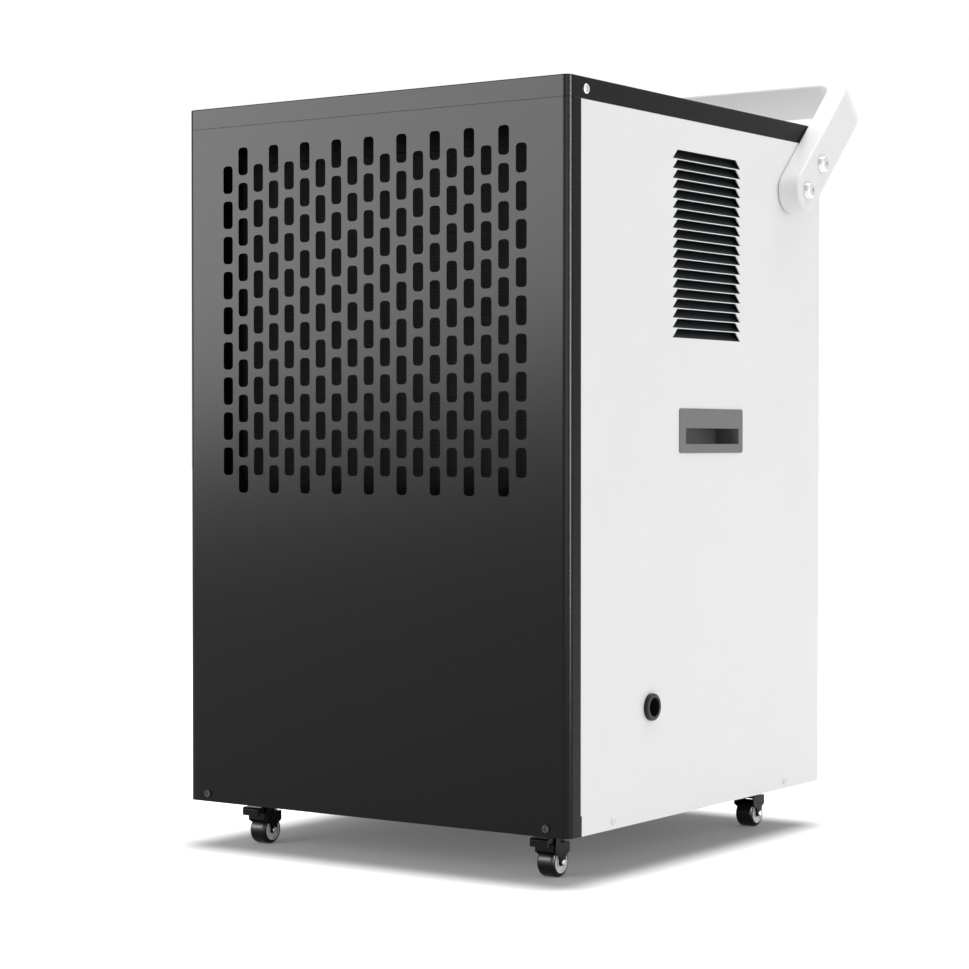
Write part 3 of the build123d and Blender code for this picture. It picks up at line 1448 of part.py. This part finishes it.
with BuildPart() as electrical_box:
    with BuildSketch(Plane.XY.offset(electrics_z)) as box_outline:
        with Locations((electrics_x, electrics_y)):
            RectangleRounded(electrics_width, electrics_depth, electrics_corner_radius)
    extrude(amount=electrics_height)
    with BuildSketch(Plane.XY.offset(electrics_seam_z)):
        with Locations((electrics_x, electrics_y)):
            Rectangle(2 * electrics_width, 2 * electrics_depth)
            RectangleRounded(
                electrics_width - 2 * electrics_lid_seam,
                electrics_depth - 2 * electrics_lid_seam,
                electrics_corner_radius - electrics_lid_seam,
                mode=Mode.SUBTRACT,
            )
    extrude(amount=electrics_lid_seam, mode=Mode.SUBTRACT)
    with BuildSketch(Plane.XY.offset(pan_floor_z)):
        with Locations((electrics_x, electrics_y)):
            with GridLocations(electrics_foot_spacing, electrics_foot_spacing, 2, 2):
                Circle(electrics_foot_radius)
    extrude(amount=electrics_foot)
electrical_box.part.label = "electrical_box"
export_step(electrical_box.part, "parts/electrical_box.step")
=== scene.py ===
"""Looks of the commercial dehumidifier: materials, fine pieces, studio and camera, in metres."""

import json
from math import cos, pi, radians, sin

import bmesh
import bpy
from mathutils import Matrix, Vector


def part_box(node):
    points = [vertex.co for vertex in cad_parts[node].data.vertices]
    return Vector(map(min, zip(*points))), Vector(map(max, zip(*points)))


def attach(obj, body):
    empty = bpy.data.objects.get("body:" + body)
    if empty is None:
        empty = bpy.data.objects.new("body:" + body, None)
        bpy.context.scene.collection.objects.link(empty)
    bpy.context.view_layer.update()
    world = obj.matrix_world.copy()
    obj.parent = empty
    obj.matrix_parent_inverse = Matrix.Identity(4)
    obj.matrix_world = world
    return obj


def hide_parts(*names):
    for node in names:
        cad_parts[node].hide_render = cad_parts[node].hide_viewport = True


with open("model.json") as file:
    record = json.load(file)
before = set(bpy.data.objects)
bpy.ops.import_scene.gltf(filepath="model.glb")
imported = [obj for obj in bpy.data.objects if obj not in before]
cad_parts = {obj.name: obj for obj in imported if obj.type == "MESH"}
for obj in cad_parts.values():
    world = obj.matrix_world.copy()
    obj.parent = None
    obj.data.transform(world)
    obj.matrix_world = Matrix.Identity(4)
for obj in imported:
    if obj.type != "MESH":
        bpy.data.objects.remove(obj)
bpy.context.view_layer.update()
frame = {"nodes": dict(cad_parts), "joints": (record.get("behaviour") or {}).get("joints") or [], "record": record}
nodes = frame["nodes"]
scene = bpy.context.scene
MM = 0.001
NOISE_RANGE = (0.3, 0.7)  # nearly all the values of a noise lie in it
BLOTCH_DETAIL = 4.0
GRAIN_DETAIL = 3.0
MOULDED_GRAIN = 1400.0  # grain scale of a textured moulding
COAT_ROUGHNESS = 0.1
UNSTRETCHED = (1.0, 1.0, 1.0)
WHITE = (1.0, 1.0, 1.0, 1.0)

# ------------------------------------------------------------------ material tools


def shader_tree(name):
    """A new node material: its material, its tree and its Principled shader."""
    material = bpy.data.materials.new(name)
    material.use_nodes = True
    tree = material.node_tree
    return material, tree, tree.nodes["Principled BSDF"]


def map_range(tree, value, source, target):
    """A node that turns a value in the source range into one in the target range."""
    node = tree.nodes.new("ShaderNodeMapRange")
    for socket, limit in zip(("From Min", "From Max", "To Min", "To Max"), (*source, *target)):
        node.inputs[socket].default_value = limit
    tree.links.new(value, node.inputs["Value"])
    return node


def math_step(tree, operation, first, second):
    """The result of a math operation on two outputs."""
    node = tree.nodes.new("ShaderNodeMath")
    node.operation = operation
    tree.links.new(first, node.inputs[0])
    tree.links.new(second, node.inputs[1])
    return node.outputs["Value"]


def vector_step(tree, operation, first, second=None):
    """The result of a vector operation on an output, with a fixed vector where one is given."""
    node = tree.nodes.new("ShaderNodeVectorMath")
    node.operation = operation
    tree.links.new(first, node.inputs[0])
    if second is not None:
        node.inputs[1].default_value = second
    return node.outputs["Value" if operation == "LENGTH" else "Vector"]


def seen_ray(tree):
    """1 for what the camera sees itself, in gloss or through glass, and 0 for all other rays."""
    rays = tree.nodes.new("ShaderNodeLightPath").outputs
    indirect = math_step(tree, "MAXIMUM", rays["Is Glossy Ray"], rays["Is Transmission Ray"])
    return math_step(tree, "MAXIMUM", rays["Is Camera Ray"], indirect)


def noise_from(tree, scale, detail, stretch=UNSTRETCHED):
    """A noise in the row frame, so that the grain runs on unbroken from piece to piece."""
    coordinates = tree.nodes.new("ShaderNodeTexCoord")
    mapping = tree.nodes.new("ShaderNodeMapping")
    mapping.inputs["Scale"].default_value = stretch
    noise = tree.nodes.new("ShaderNodeTexNoise")
    noise.inputs["Scale"].default_value = scale
    noise.inputs["Detail"].default_value = detail
    tree.links.new(coordinates.outputs["Object"], mapping.inputs["Vector"])
    tree.links.new(mapping.outputs["Vector"], noise.inputs["Vector"])
    return noise.outputs["Fac"]


def shades(tree, value, color, spread):
    """The colour, from darker to lighter by that share as the noise goes from low to high."""
    ramp = tree.nodes.new("ShaderNodeValToRGB")
    factors = (1 - spread, 1 + spread)
    for element, position, factor in zip(ramp.color_ramp.elements, NOISE_RANGE, factors):
        element.position = position
        element.color = (*[min(1.0, channel * factor) for channel in color], 1.0)
    tree.links.new(value, ramp.inputs["Fac"])
    return ramp.outputs["Color"]


def surface(
    name,
    color,
    roughness,
    *,
    metallic=0.0,
    specular=0.5,
    coat=0.0,
    mottle=0.05,
    mottle_scale=9.0,
    grain_scale=900.0,
    grain=0.05,
    relief=0.02,
    stretch=UNSTRETCHED,
):
    """A finish with soft blotches of colour, uneven gloss and a fine relief."""
    material, tree, shader = shader_tree(name)
    blotches = noise_from(tree, mottle_scale, BLOTCH_DETAIL)
    tree.links.new(shades(tree, blotches, color, mottle), shader.inputs["Base Color"])
    fine = noise_from(tree, grain_scale, GRAIN_DETAIL, stretch)
    gloss = map_range(tree, fine, NOISE_RANGE, (roughness - grain, roughness + grain))
    tree.links.new(gloss.outputs["Result"], shader.inputs["Roughness"])
    bump = tree.nodes.new("ShaderNodeBump")
    bump.inputs["Strength"].default_value = relief
    bump.inputs["Distance"].default_value = MM
    tree.links.new(fine, bump.inputs["Height"])
    tree.links.new(bump.outputs["Normal"], shader.inputs["Normal"])
    shader.inputs["Metallic"].default_value = metallic
    shader.inputs["Specular IOR Level"].default_value = specular
    shader.inputs["Coat Weight"].default_value = coat
    shader.inputs["Coat Roughness"].default_value = COAT_ROUGHNESS
    return material


# ------------------------------------------------------------------ materials
white_coat = surface(
    "white_powder_coat", (0.86, 0.863, 0.866), 0.42, mottle=0.012, relief=0.05
)
# Nearly black and weak in gloss, because the whole white studio shows in it
charcoal_coat = surface(
    "charcoal_powder_coat", (0.002, 0.0022, 0.0027), 0.24,
    specular=0.095, grain=0.02, relief=0.012,
)
white_plastic = surface(
    "white_moulded_plastic", (0.85, 0.853, 0.856), 0.36, mottle=0.012, relief=0.05
)
grey_plastic = surface(
    "grey_moulded_plastic", (0.152, 0.155, 0.16), 0.5, grain_scale=MOULDED_GRAIN, relief=0.12
)
black_plastic = surface(
    "black_moulded_plastic", (0.012, 0.013, 0.016), 0.45, grain_scale=MOULDED_GRAIN, relief=0.1
)
gloss_black = surface(
    "black_nylon", (0.0015, 0.0015, 0.0018), 0.24, specular=0.09, grain_scale=500.0, relief=0.05
)
hub_plastic = surface("pale_hub_plastic", (0.87, 0.873, 0.876), 0.24, relief=0.04)
rubber = surface(
    "black_rubber", (0.0025, 0.0025, 0.0027), 0.3, specular=0.22, grain_scale=1100.0, relief=0.1
)
zinc = surface(
    "zinc_plate", (0.55, 0.56, 0.57), 0.38, metallic=1.0, mottle=0.12, mottle_scale=60.0
)
chrome = surface(
    "bright_steel", (0.72, 0.72, 0.73), 0.16, metallic=1.0, mottle=0.03, mottle_scale=200.0
)
black_steel = surface(
    "blackened_steel", (0.045, 0.045, 0.047), 0.3, metallic=0.75, mottle=0.1
)
aluminium = surface(
    "rolled_aluminium", (0.62, 0.63, 0.64), 0.5,
    metallic=1.0, mottle=0.06, stretch=(1.0, 1.0, 0.05),
)
copper = surface(
    "copper_tube", (0.72, 0.36, 0.22), 0.42, metallic=1.0, mottle=0.16, mottle_scale=40.0
)
compressor_paint = surface(
    "compressor_enamel", (0.012, 0.012, 0.013), 0.28, relief=0.1, mottle=0.1
)
board_green = surface(
    "circuit_board", (0.02, 0.11, 0.05), 0.35, mottle=0.25, mottle_scale=300.0
)
net_nylon = surface(
    "filter_net_nylon", (0.014, 0.014, 0.015), 0.6,
    specular=0.2, mottle=0.15, mottle_scale=50.0,
)
filter_black = surface(
    "filter_frame_plastic", (0.006, 0.006, 0.0065), 0.6, specular=0.15, relief=0.08
)
grille_plastic = surface(
    "louvre_grille_plastic", (0.012, 0.0155, 0.018), 0.5,
    specular=0.3, grain_scale=MOULDED_GRAIN, relief=0.1,
)
fitting_plastic = surface(
    "drain_fitting_plastic", (0.012, 0.013, 0.014), 0.34,
    specular=0.25, grain_scale=1200.0, relief=0.08,
)
button_plastic = surface("button_plastic", (0.5, 0.51, 0.53), 0.25, relief=0.03)
window_glass = surface(
    "tinted_window", (0.006, 0.008, 0.01), 0.08, coat=0.6, mottle=0.1, relief=0.01
)

FINISHES = {
    "white_panels": white_coat,
    "charcoal_panels": charcoal_coat,
    "white_handle": white_plastic,
    "grey_plastic": grey_plastic,
    "dark_fitting": fitting_plastic,
    "black_plastic": black_plastic,
    "filter_net": net_nylon,
    "button_plastic": button_plastic,
    "display": window_glass,
    "board": board_green,
    "bright_bolts": chrome,
    "white_screws": white_coat,
    "dark_screws": black_steel,
    "zinc_sheet": zinc,
    "coil_fins": aluminium,
    "fan_plastic": black_plastic,
    "motor_steel": zinc,
    "compressor_paint": compressor_paint,
    "rubber_parts": rubber,
    "copper_tube": copper,
    "black_fork": gloss_black,
    "axle_steel": chrome,
    "wheel_hub": hub_plastic,
    "wheel_tyre": rubber,
}
NODE_FINISHES = {  # nodes that differ from the rest of their slot
    "filter_frame": filter_black,
    "filter_rails": filter_black,
    "left_louver_grille": grille_plastic,
    "right_louver_grille": grille_plastic,
}
for part in frame["record"]["subparts"]:
    mesh = nodes[part["node"]].data
    mesh.materials.clear()
    mesh.materials.append(NODE_FINISHES.get(part["node"], FINISHES[part["material_slot"]]))

# ------------------------------------------------------------------ tools for new pieces


def add_piece(name, bm, body, material, smooth=False):
    """Makes a piece of this mesh, which rides on the body."""
    mesh = bpy.data.meshes.new(name)
    bm.to_mesh(mesh)
    bm.free()
    for polygon in mesh.polygons:
        polygon.use_smooth = smooth
    piece = bpy.data.objects.new(name, mesh)
    scene.collection.objects.link(piece)
    mesh.materials.append(material)
    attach(piece, body)
    return piece


def add_bar(bm, low, high):
    """Adds a box between two corners."""
    low, high = Vector(low), Vector(high)
    place = Matrix.Translation((low + high) / 2) @ Matrix.Diagonal((*(high - low), 1.0))
    bmesh.ops.create_cube(bm, size=1.0, matrix=place)


def skin(bm, rings):
    """Joins each ring of vertices to the next with four-sided faces."""
    for first, second in zip(rings, rings[1:]):
        for here in range(len(first)):
            following = (here + 1) % len(first)
            bm.faces.new((first[here], first[following], second[following], second[here]))


def top_middle(box):
    """The middle of a box's top face."""
    low, high = box
    return Vector(((low.x + high.x) / 2, (low.y + high.y) / 2, high.z))


# ------------------------------------------------------------------ woven net of the air filter
strand = 0.8 * MM
strand_pitch = 1.5 * MM
net_low, net_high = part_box("filter_mesh")
net_middle = (net_low.y + net_high.y) / 2
columns = int((net_high.x - net_low.x) / strand_pitch)
rows = int((net_high.z - net_low.z) / strand_pitch)
bm = bmesh.new()
for column in range(columns + 1):
    x = net_low.x + column * strand_pitch
    add_bar(bm, (x, net_low.y, net_low.z), (x + strand, net_middle, net_high.z))
for row in range(rows + 1):
    z = net_low.z + row * strand_pitch
    add_bar(bm, (net_low.x, net_middle, z), (net_high.x, net_high.y, z + strand))
filter_net = add_piece("filter_net", bm, "filter", net_nylon)
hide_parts("filter_mesh")

# ------------------------------------------------------------------ ball-race cups of the casters
CUP_PROFILE = (  # share of the cup's height, share of its radius
    (0.0, 0.80),
    (0.0, 0.94),
    (0.08, 1.0),
    (0.40, 1.0),
    (0.46, 0.95),
    (0.54, 0.95),
    (0.60, 1.0),
    (0.90, 1.0),
    (1.0, 0.92),
    (1.0, 0.80),
)
cup_radius = 10.8 * MM
cup_segments = 64
cup_gap = 0.5 * MM  # to the plate above
hood_rise = 5.5 * MM  # from the top of a tyre to the top face of its fork, where the cup sits
plates_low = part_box("caster_plates")[0].z
hinge_place = {
    joint["name"]: joint["pos_m"] for joint in frame["joints"] if joint["type"] == "hinge"
}
for corner in ("front_left", "front_right", "back_left", "back_right"):
    swivel = hinge_place[f"{corner}_swivel"]
    cup_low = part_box(f"{corner}_wheel_tyre")[1].z + hood_rise
    cup_height = plates_low - cup_gap - cup_low
    bm = bmesh.new()
    rings = []
    for share, reach in CUP_PROFILE:
        out = cup_radius * reach
        level = cup_low + share * cup_height
        ring = []
        for step in range(cup_segments):
            angle = 2 * pi * step / cup_segments
            point = (swivel[0] + out * cos(angle), swivel[1] + out * sin(angle), level)
            ring.append(bm.verts.new(point))
        rings.append(ring)
    skin(bm, rings + rings[:1])
    bmesh.ops.recalc_face_normals(bm, faces=bm.faces)
    add_piece(f"{corner}_race_cup", bm, f"{corner}_caster", gloss_black)

# ------------------------------------------------------------------ signs on the lid's buttons
ink = surface(
    "button_sign_ink", (0.045, 0.05, 0.06), 0.45, specular=0.3, mottle=0.08, mottle_scale=400.0
)
segment_white = surface(
    "display_segment", (0.5, 0.72, 0.76), 0.3, mottle=0.06, mottle_scale=400.0
)
lamp_green = surface(
    "pilot_lamp", (0.08, 0.5, 0.16), 0.2, coat=0.4, mottle=0.06, mottle_scale=400.0
)
sign_height = 0.12 * MM  # a sign stands this proud of its button
sign_line, arrow_line, digit_line = 0.7, 0.9, 1.8  # widths in millimetres
arc_steps = 40
full_turn = 360  # degrees
weld_distance = 1e-6


def add_arc(bm, middle, x, y, radius, start, end, line):
    """Adds a flat ring, or a part of one: millimetres from the middle, degrees from +Y to +X."""
    centre = middle + Vector((x, y, 0.0)) * MM
    rings = []
    for step in range(arc_steps + 1):
        angle = radians(start + (end - start) * step / arc_steps)
        ring = []
        for side, top in ((-1, 0), (1, 0), (1, 1), (-1, 1)):
            out = radius * MM + side * line * MM / 2
            point = Vector((out * sin(angle), out * cos(angle), top * sign_height))
            ring.append(bm.verts.new(centre + point))
        rings.append(ring)
    skin(bm, rings)
    if end - start < full_turn:
        bm.faces.new(rings[0][::-1])
        bm.faces.new(rings[-1])
    else:
        bmesh.ops.remove_doubles(bm, verts=rings[0] + rings[-1], dist=weld_distance)
    bmesh.ops.recalc_face_normals(bm, faces=bm.faces)


def add_stroke(bm, middle, x0, y0, x1, y1, line):
    """Adds a flat stroke between two points, in millimetres from the middle."""
    start = middle + Vector((x0, y0, 0.0)) * MM
    end = middle + Vector((x1, y1, 0.0)) * MM
    along = end - start
    turn = Matrix.Rotation(-Vector((0.0, 1.0)).angle_signed(along.xy), 4, "Z")
    place = (
        Matrix.Translation((start + end) / 2 + Vector((0, 0, sign_height / 2)))
        @ turn
        @ Matrix.Diagonal((line * MM, along.length, sign_height, 1.0))
    )
    bmesh.ops.create_cube(bm, size=1.0, matrix=place)


# Arcs as x, y, radius, start, end, and strokes as x0, y0, x1, y1, each with its line
SIGNS = {
    "power": (
        (add_arc, 0, 0, 3.4, 35, 325, sign_line),
        (add_stroke, 0, 0.6, 0, 4.4, sign_line),
    ),
    "mode": (
        (add_stroke, 0, 4.4, 2.7, -0.4, sign_line),
        (add_stroke, 0, 4.4, -2.7, -0.4, sign_line),
        (add_arc, 0, -1.3, 2.85, 72, 288, sign_line),
    ),
    "timer": (
        (add_arc, 0, 0, 3.6, 0, full_turn, sign_line),
        (add_stroke, 0, 0, 0, 2.4, sign_line),
        (add_stroke, 0, 0, 1.8, -1.0, sign_line),
    ),
    "down": (
        (add_stroke, -3.0, 1.4, 0, -1.8, arrow_line),
        (add_stroke, 3.0, 1.4, 0, -1.8, arrow_line),
    ),
    "up": (
        (add_stroke, -3.0, -1.4, 0, 1.8, arrow_line),
        (add_stroke, 3.0, -1.4, 0, 1.8, arrow_line),
    ),
}
for key, marks in SIGNS.items():
    button_middle = top_middle(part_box(f"{key}_button"))
    bm = bmesh.new()
    for draw, *sizes in marks:
        draw(bm, button_middle, *sizes)
    add_piece(f"{key}_sign", bm, f"{key}_key", ink)

# ------------------------------------------------------------------ display, in millimetres
digit_width, digit_height = 9.0, 18.0
half_digit = digit_height / 2
segment_gap = 0.13  # share of a segment's length that is left free at each of its ends
STROKES = {
    "a": (0, digit_height, digit_width, digit_height),
    "b": (digit_width, digit_height, digit_width, half_digit),
    "c": (digit_width, half_digit, digit_width, 0),
    "d": (0, 0, digit_width, 0),
    "e": (0, 0, 0, half_digit),
    "f": (0, half_digit, 0, digit_height),
    "g": (0, half_digit, digit_width, half_digit),
}
DIGITS = (("afgcd", -19.0), ("abcdef", -4.0))  # the segments of 5 and of 0, and their left edges
PERCENT_RINGS = ((11.5, 4.5), (17.5, -4.5))
PERCENT_STROKE = (11.0, -5.5, 18.0, 5.5)
percent_ring_radius = 1.7
window_middle = top_middle(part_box("display_window"))
bm = bmesh.new()
for segments, left in DIGITS:
    digit_corner = window_middle + Vector((left, -half_digit, 0.0)) * MM
    for segment in segments:
        x0, y0, x1, y1 = STROKES[segment]
        gap = segment_gap * Vector((x1 - x0, y1 - y0))
        ends = (x0 + gap.x, y0 + gap.y, x1 - gap.x, y1 - gap.y)
        add_stroke(bm, digit_corner, *ends, digit_line)
for x, y in PERCENT_RINGS:
    add_arc(bm, window_middle, x, y, percent_ring_radius, 0, full_turn, sign_line)
add_stroke(bm, window_middle, *PERCENT_STROKE, sign_line)
add_piece("display_digits", bm, "cabinet", segment_white)

# ------------------------------------------------------------------ pilot lamps by three buttons
pilot_radius = 1.3 * MM
pilot_flatness = 0.35  # height as a share of a round one's
pilot_distance = 5.0 * MM  # from a button's edge, towards the handle
ball_segments = 20
ball_rows = 10


def add_ball(bm, middle, radius, flatness):
    """Adds a flattened ball in rings: the faces of Blender's own vary in order from run to run."""
    rings = []
    for row in range(1, ball_rows):
        fall = pi * row / ball_rows
        ring = []
        for step in range(ball_segments):
            angle = 2 * pi * step / ball_segments
            out = radius * sin(fall)
            point = Vector((out * cos(angle), out * sin(angle), radius * flatness * cos(fall)))
            ring.append(bm.verts.new(middle + point))
        rings.append(ring)
    skin(bm, rings)
    for ring, side in ((rings[0], 1), (rings[-1], -1)):
        pole = bm.verts.new(middle + Vector((0.0, 0.0, side * radius * flatness)))
        for step in range(ball_segments):
            bm.faces.new((pole, ring[step], ring[(step + 1) % ball_segments]))
    bmesh.ops.recalc_face_normals(bm, faces=bm.faces)


bezel_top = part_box("control_bezel")[1].z
bm = bmesh.new()
for key in ("power", "mode", "timer"):
    low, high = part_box(f"{key}_button")
    lamp_middle = Vector(((low.x + high.x) / 2, high.y + pilot_distance, bezel_top))
    add_ball(bm, lamp_middle, pilot_radius, pilot_flatness)
add_piece("pilot_lamps", bm, "cabinet", lamp_green, smooth=True)

# ------------------------------------------------------------------ camera
camera_turn = 34.773  # degrees from +Y towards -X
camera_tilt = 0.979  # degrees below level
camera_data = bpy.data.cameras.new("camera")
camera_data.lens = 93.73
camera_data.sensor_width = 36.0
camera_data.clip_end = 100.0
camera = bpy.data.objects.new("camera", camera_data)
scene.collection.objects.link(camera)
camera.location = (1.6910, -2.5321, 0.4700)
camera.rotation_euler = (radians(90.0 - camera_tilt), 0.0, radians(camera_turn))
bpy.context.scene.camera = camera

# ------------------------------------------------------------------ world and lamps
scene.view_settings.view_transform = "Standard"

# The world lights the object softly, and shows as plain white behind it and in its gloss
world_fill = 0.575
world_seen = 1.0
world = bpy.data.worlds.new("studio")
world.use_nodes = True
scene.world = world
tree = world.node_tree
strength = map_range(tree, seen_ray(tree), (0.0, 1.0), (world_fill, world_seen))
background = tree.nodes["Background"]
background.inputs["Color"].default_value = WHITE
tree.links.new(strength.outputs["Result"], background.inputs["Strength"])


def add_softbox(name, location, target, width, height, watts):
    """A rectangular lamp that faces the target, and that the camera doesn't see itself."""
    data = bpy.data.lights.new(name, "AREA")
    data.shape = "RECTANGLE"
    data.size = width
    data.size_y = height
    data.energy = watts
    lamp = bpy.data.objects.new(name, data)
    scene.collection.objects.link(lamp)
    lamp.location = location
    lamp.visible_camera = False
    aim = Vector(target) - Vector(location)
    lamp.rotation_euler = aim.to_track_quat("-Z", "Y").to_euler()
    return lamp


cabinet_middle = (0.0, 0.0, 0.45)
front_high = (0.0, -0.3, 1.2)
front_lamp_roll = 0.22  # radians, slants the edge of its reflection in the front
front_lamp = add_softbox(
    "front_left_softbox", (-1.8, -2.7, 1.45), front_high, width=2.8, height=1.7, watts=290.0
)
corner_lamp = add_softbox(
    "corner_softbox", (2.9, -0.25, 1.0), cabinet_middle, width=0.8, height=1.9, watts=230.0
)
broad_lamp = add_softbox(
    "front_right_softbox", (2.3, -3.2, 1.0), cabinet_middle, width=3.4, height=1.9, watts=100.0
)
add_softbox("right_softbox", (3.0, 0.2, 1.2), cabinet_middle, width=1.6, height=1.6, watts=15.0)
add_softbox("top_softbox", (0.3, 0.6, 3.2), cabinet_middle, width=2.4, height=2.4, watts=50.0)
front_fill = add_softbox(
    "front_fill", (-1.2, -3.2, 1.3), (0.0, 0.0, 0.9), width=2.4, height=1.6, watts=55.0
)
front_fill.visible_glossy = False
front_lamp.rotation_euler.rotate_axis("Z", front_lamp_roll)
# These three only make the long reflections in the dark parts, and don't glare on the white ones
dark_parts = bpy.data.collections.new("dark_parts")
for node in nodes.values():
    if node.data.materials[0] in (charcoal_coat, gloss_black, rubber):
        dark_parts.objects.link(node)
for gloss_only in (front_lamp, corner_lamp, broad_lamp):
    gloss_only.visible_diffuse = False
    gloss_only.light_linking.receiver_collection = dark_parts

# ------------------------------------------------------------------ floor, with a shade painted around the machine
floor_size = 60.0
floor_roughness = 0.9
floor_specular = 0.1
painted_shade_inset = 0.03  # the floor's painted shade, a darker colour and less glow, starts to fade this far inside the lid's outline
painted_shade_fade = 0.105  # and is gone this much further out
PAINTED_SHADE_GLOW_RANGE = (0.08, 1.0)  # glow in the painted shade, and on the open floor, which is seen as white
PAINTED_SHADE_ALBEDO_RANGE = (0.45, 0.8)  # floor colour darkened as painted shade, and on the open floor
NO_LENGTH = (0.0, 0.0, 0.0)
bm = bmesh.new()
bmesh.ops.create_grid(bm, x_segments=1, y_segments=1, size=floor_size / 2)
floor_mesh = bpy.data.meshes.new("studio_floor")
bm.to_mesh(floor_mesh)
bm.free()
floor = bpy.data.objects.new("studio_floor", floor_mesh)
scene.collection.objects.link(floor)
floor_material, tree, shader = shader_tree("studio_floor")
floor_mesh.materials.append(floor_material)

# How far a point of the floor lies outside the lid's outline, once that is drawn in by the inset
lid_low, lid_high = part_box("top_cover")
lid_middle = (lid_low + lid_high) / 2
lid_half = (lid_high - lid_low) / 2
floor_point = tree.nodes.new("ShaderNodeTexCoord").outputs["Object"]
offset = vector_step(tree, "SUBTRACT", floor_point, (lid_middle.x, lid_middle.y, 0.0))
apart = vector_step(tree, "ABSOLUTE", offset)
painted_shade_core = (lid_half.x - painted_shade_inset, lid_half.y - painted_shade_inset, 0.0)
beyond = vector_step(tree, "SUBTRACT", apart, painted_shade_core)
distance = vector_step(tree, "LENGTH", vector_step(tree, "MAXIMUM", beyond, NO_LENGTH))

# Painted shade: inside the lid's outline the floor gets less glow and a darker colour, on top of the real shadow
# that the lamps cast there
painted_shade_lift = map_range(tree, distance, (0.0, painted_shade_fade), PAINTED_SHADE_GLOW_RANGE)
painted_shade_lift.interpolation_type = "SMOOTHSTEP"
glow = math_step(tree, "MULTIPLY", seen_ray(tree), painted_shade_lift.outputs["Result"])
painted_shade_albedo = map_range(tree, painted_shade_lift.outputs["Result"], PAINTED_SHADE_GLOW_RANGE, PAINTED_SHADE_ALBEDO_RANGE)
tree.links.new(painted_shade_albedo.outputs["Result"], shader.inputs["Base Color"])
tree.links.new(glow, shader.inputs["Emission Strength"])
shader.inputs["Emission Color"].default_value = WHITE
shader.inputs["Roughness"].default_value = floor_roughness
shader.inputs["Specular IOR Level"].default_value = floor_specular
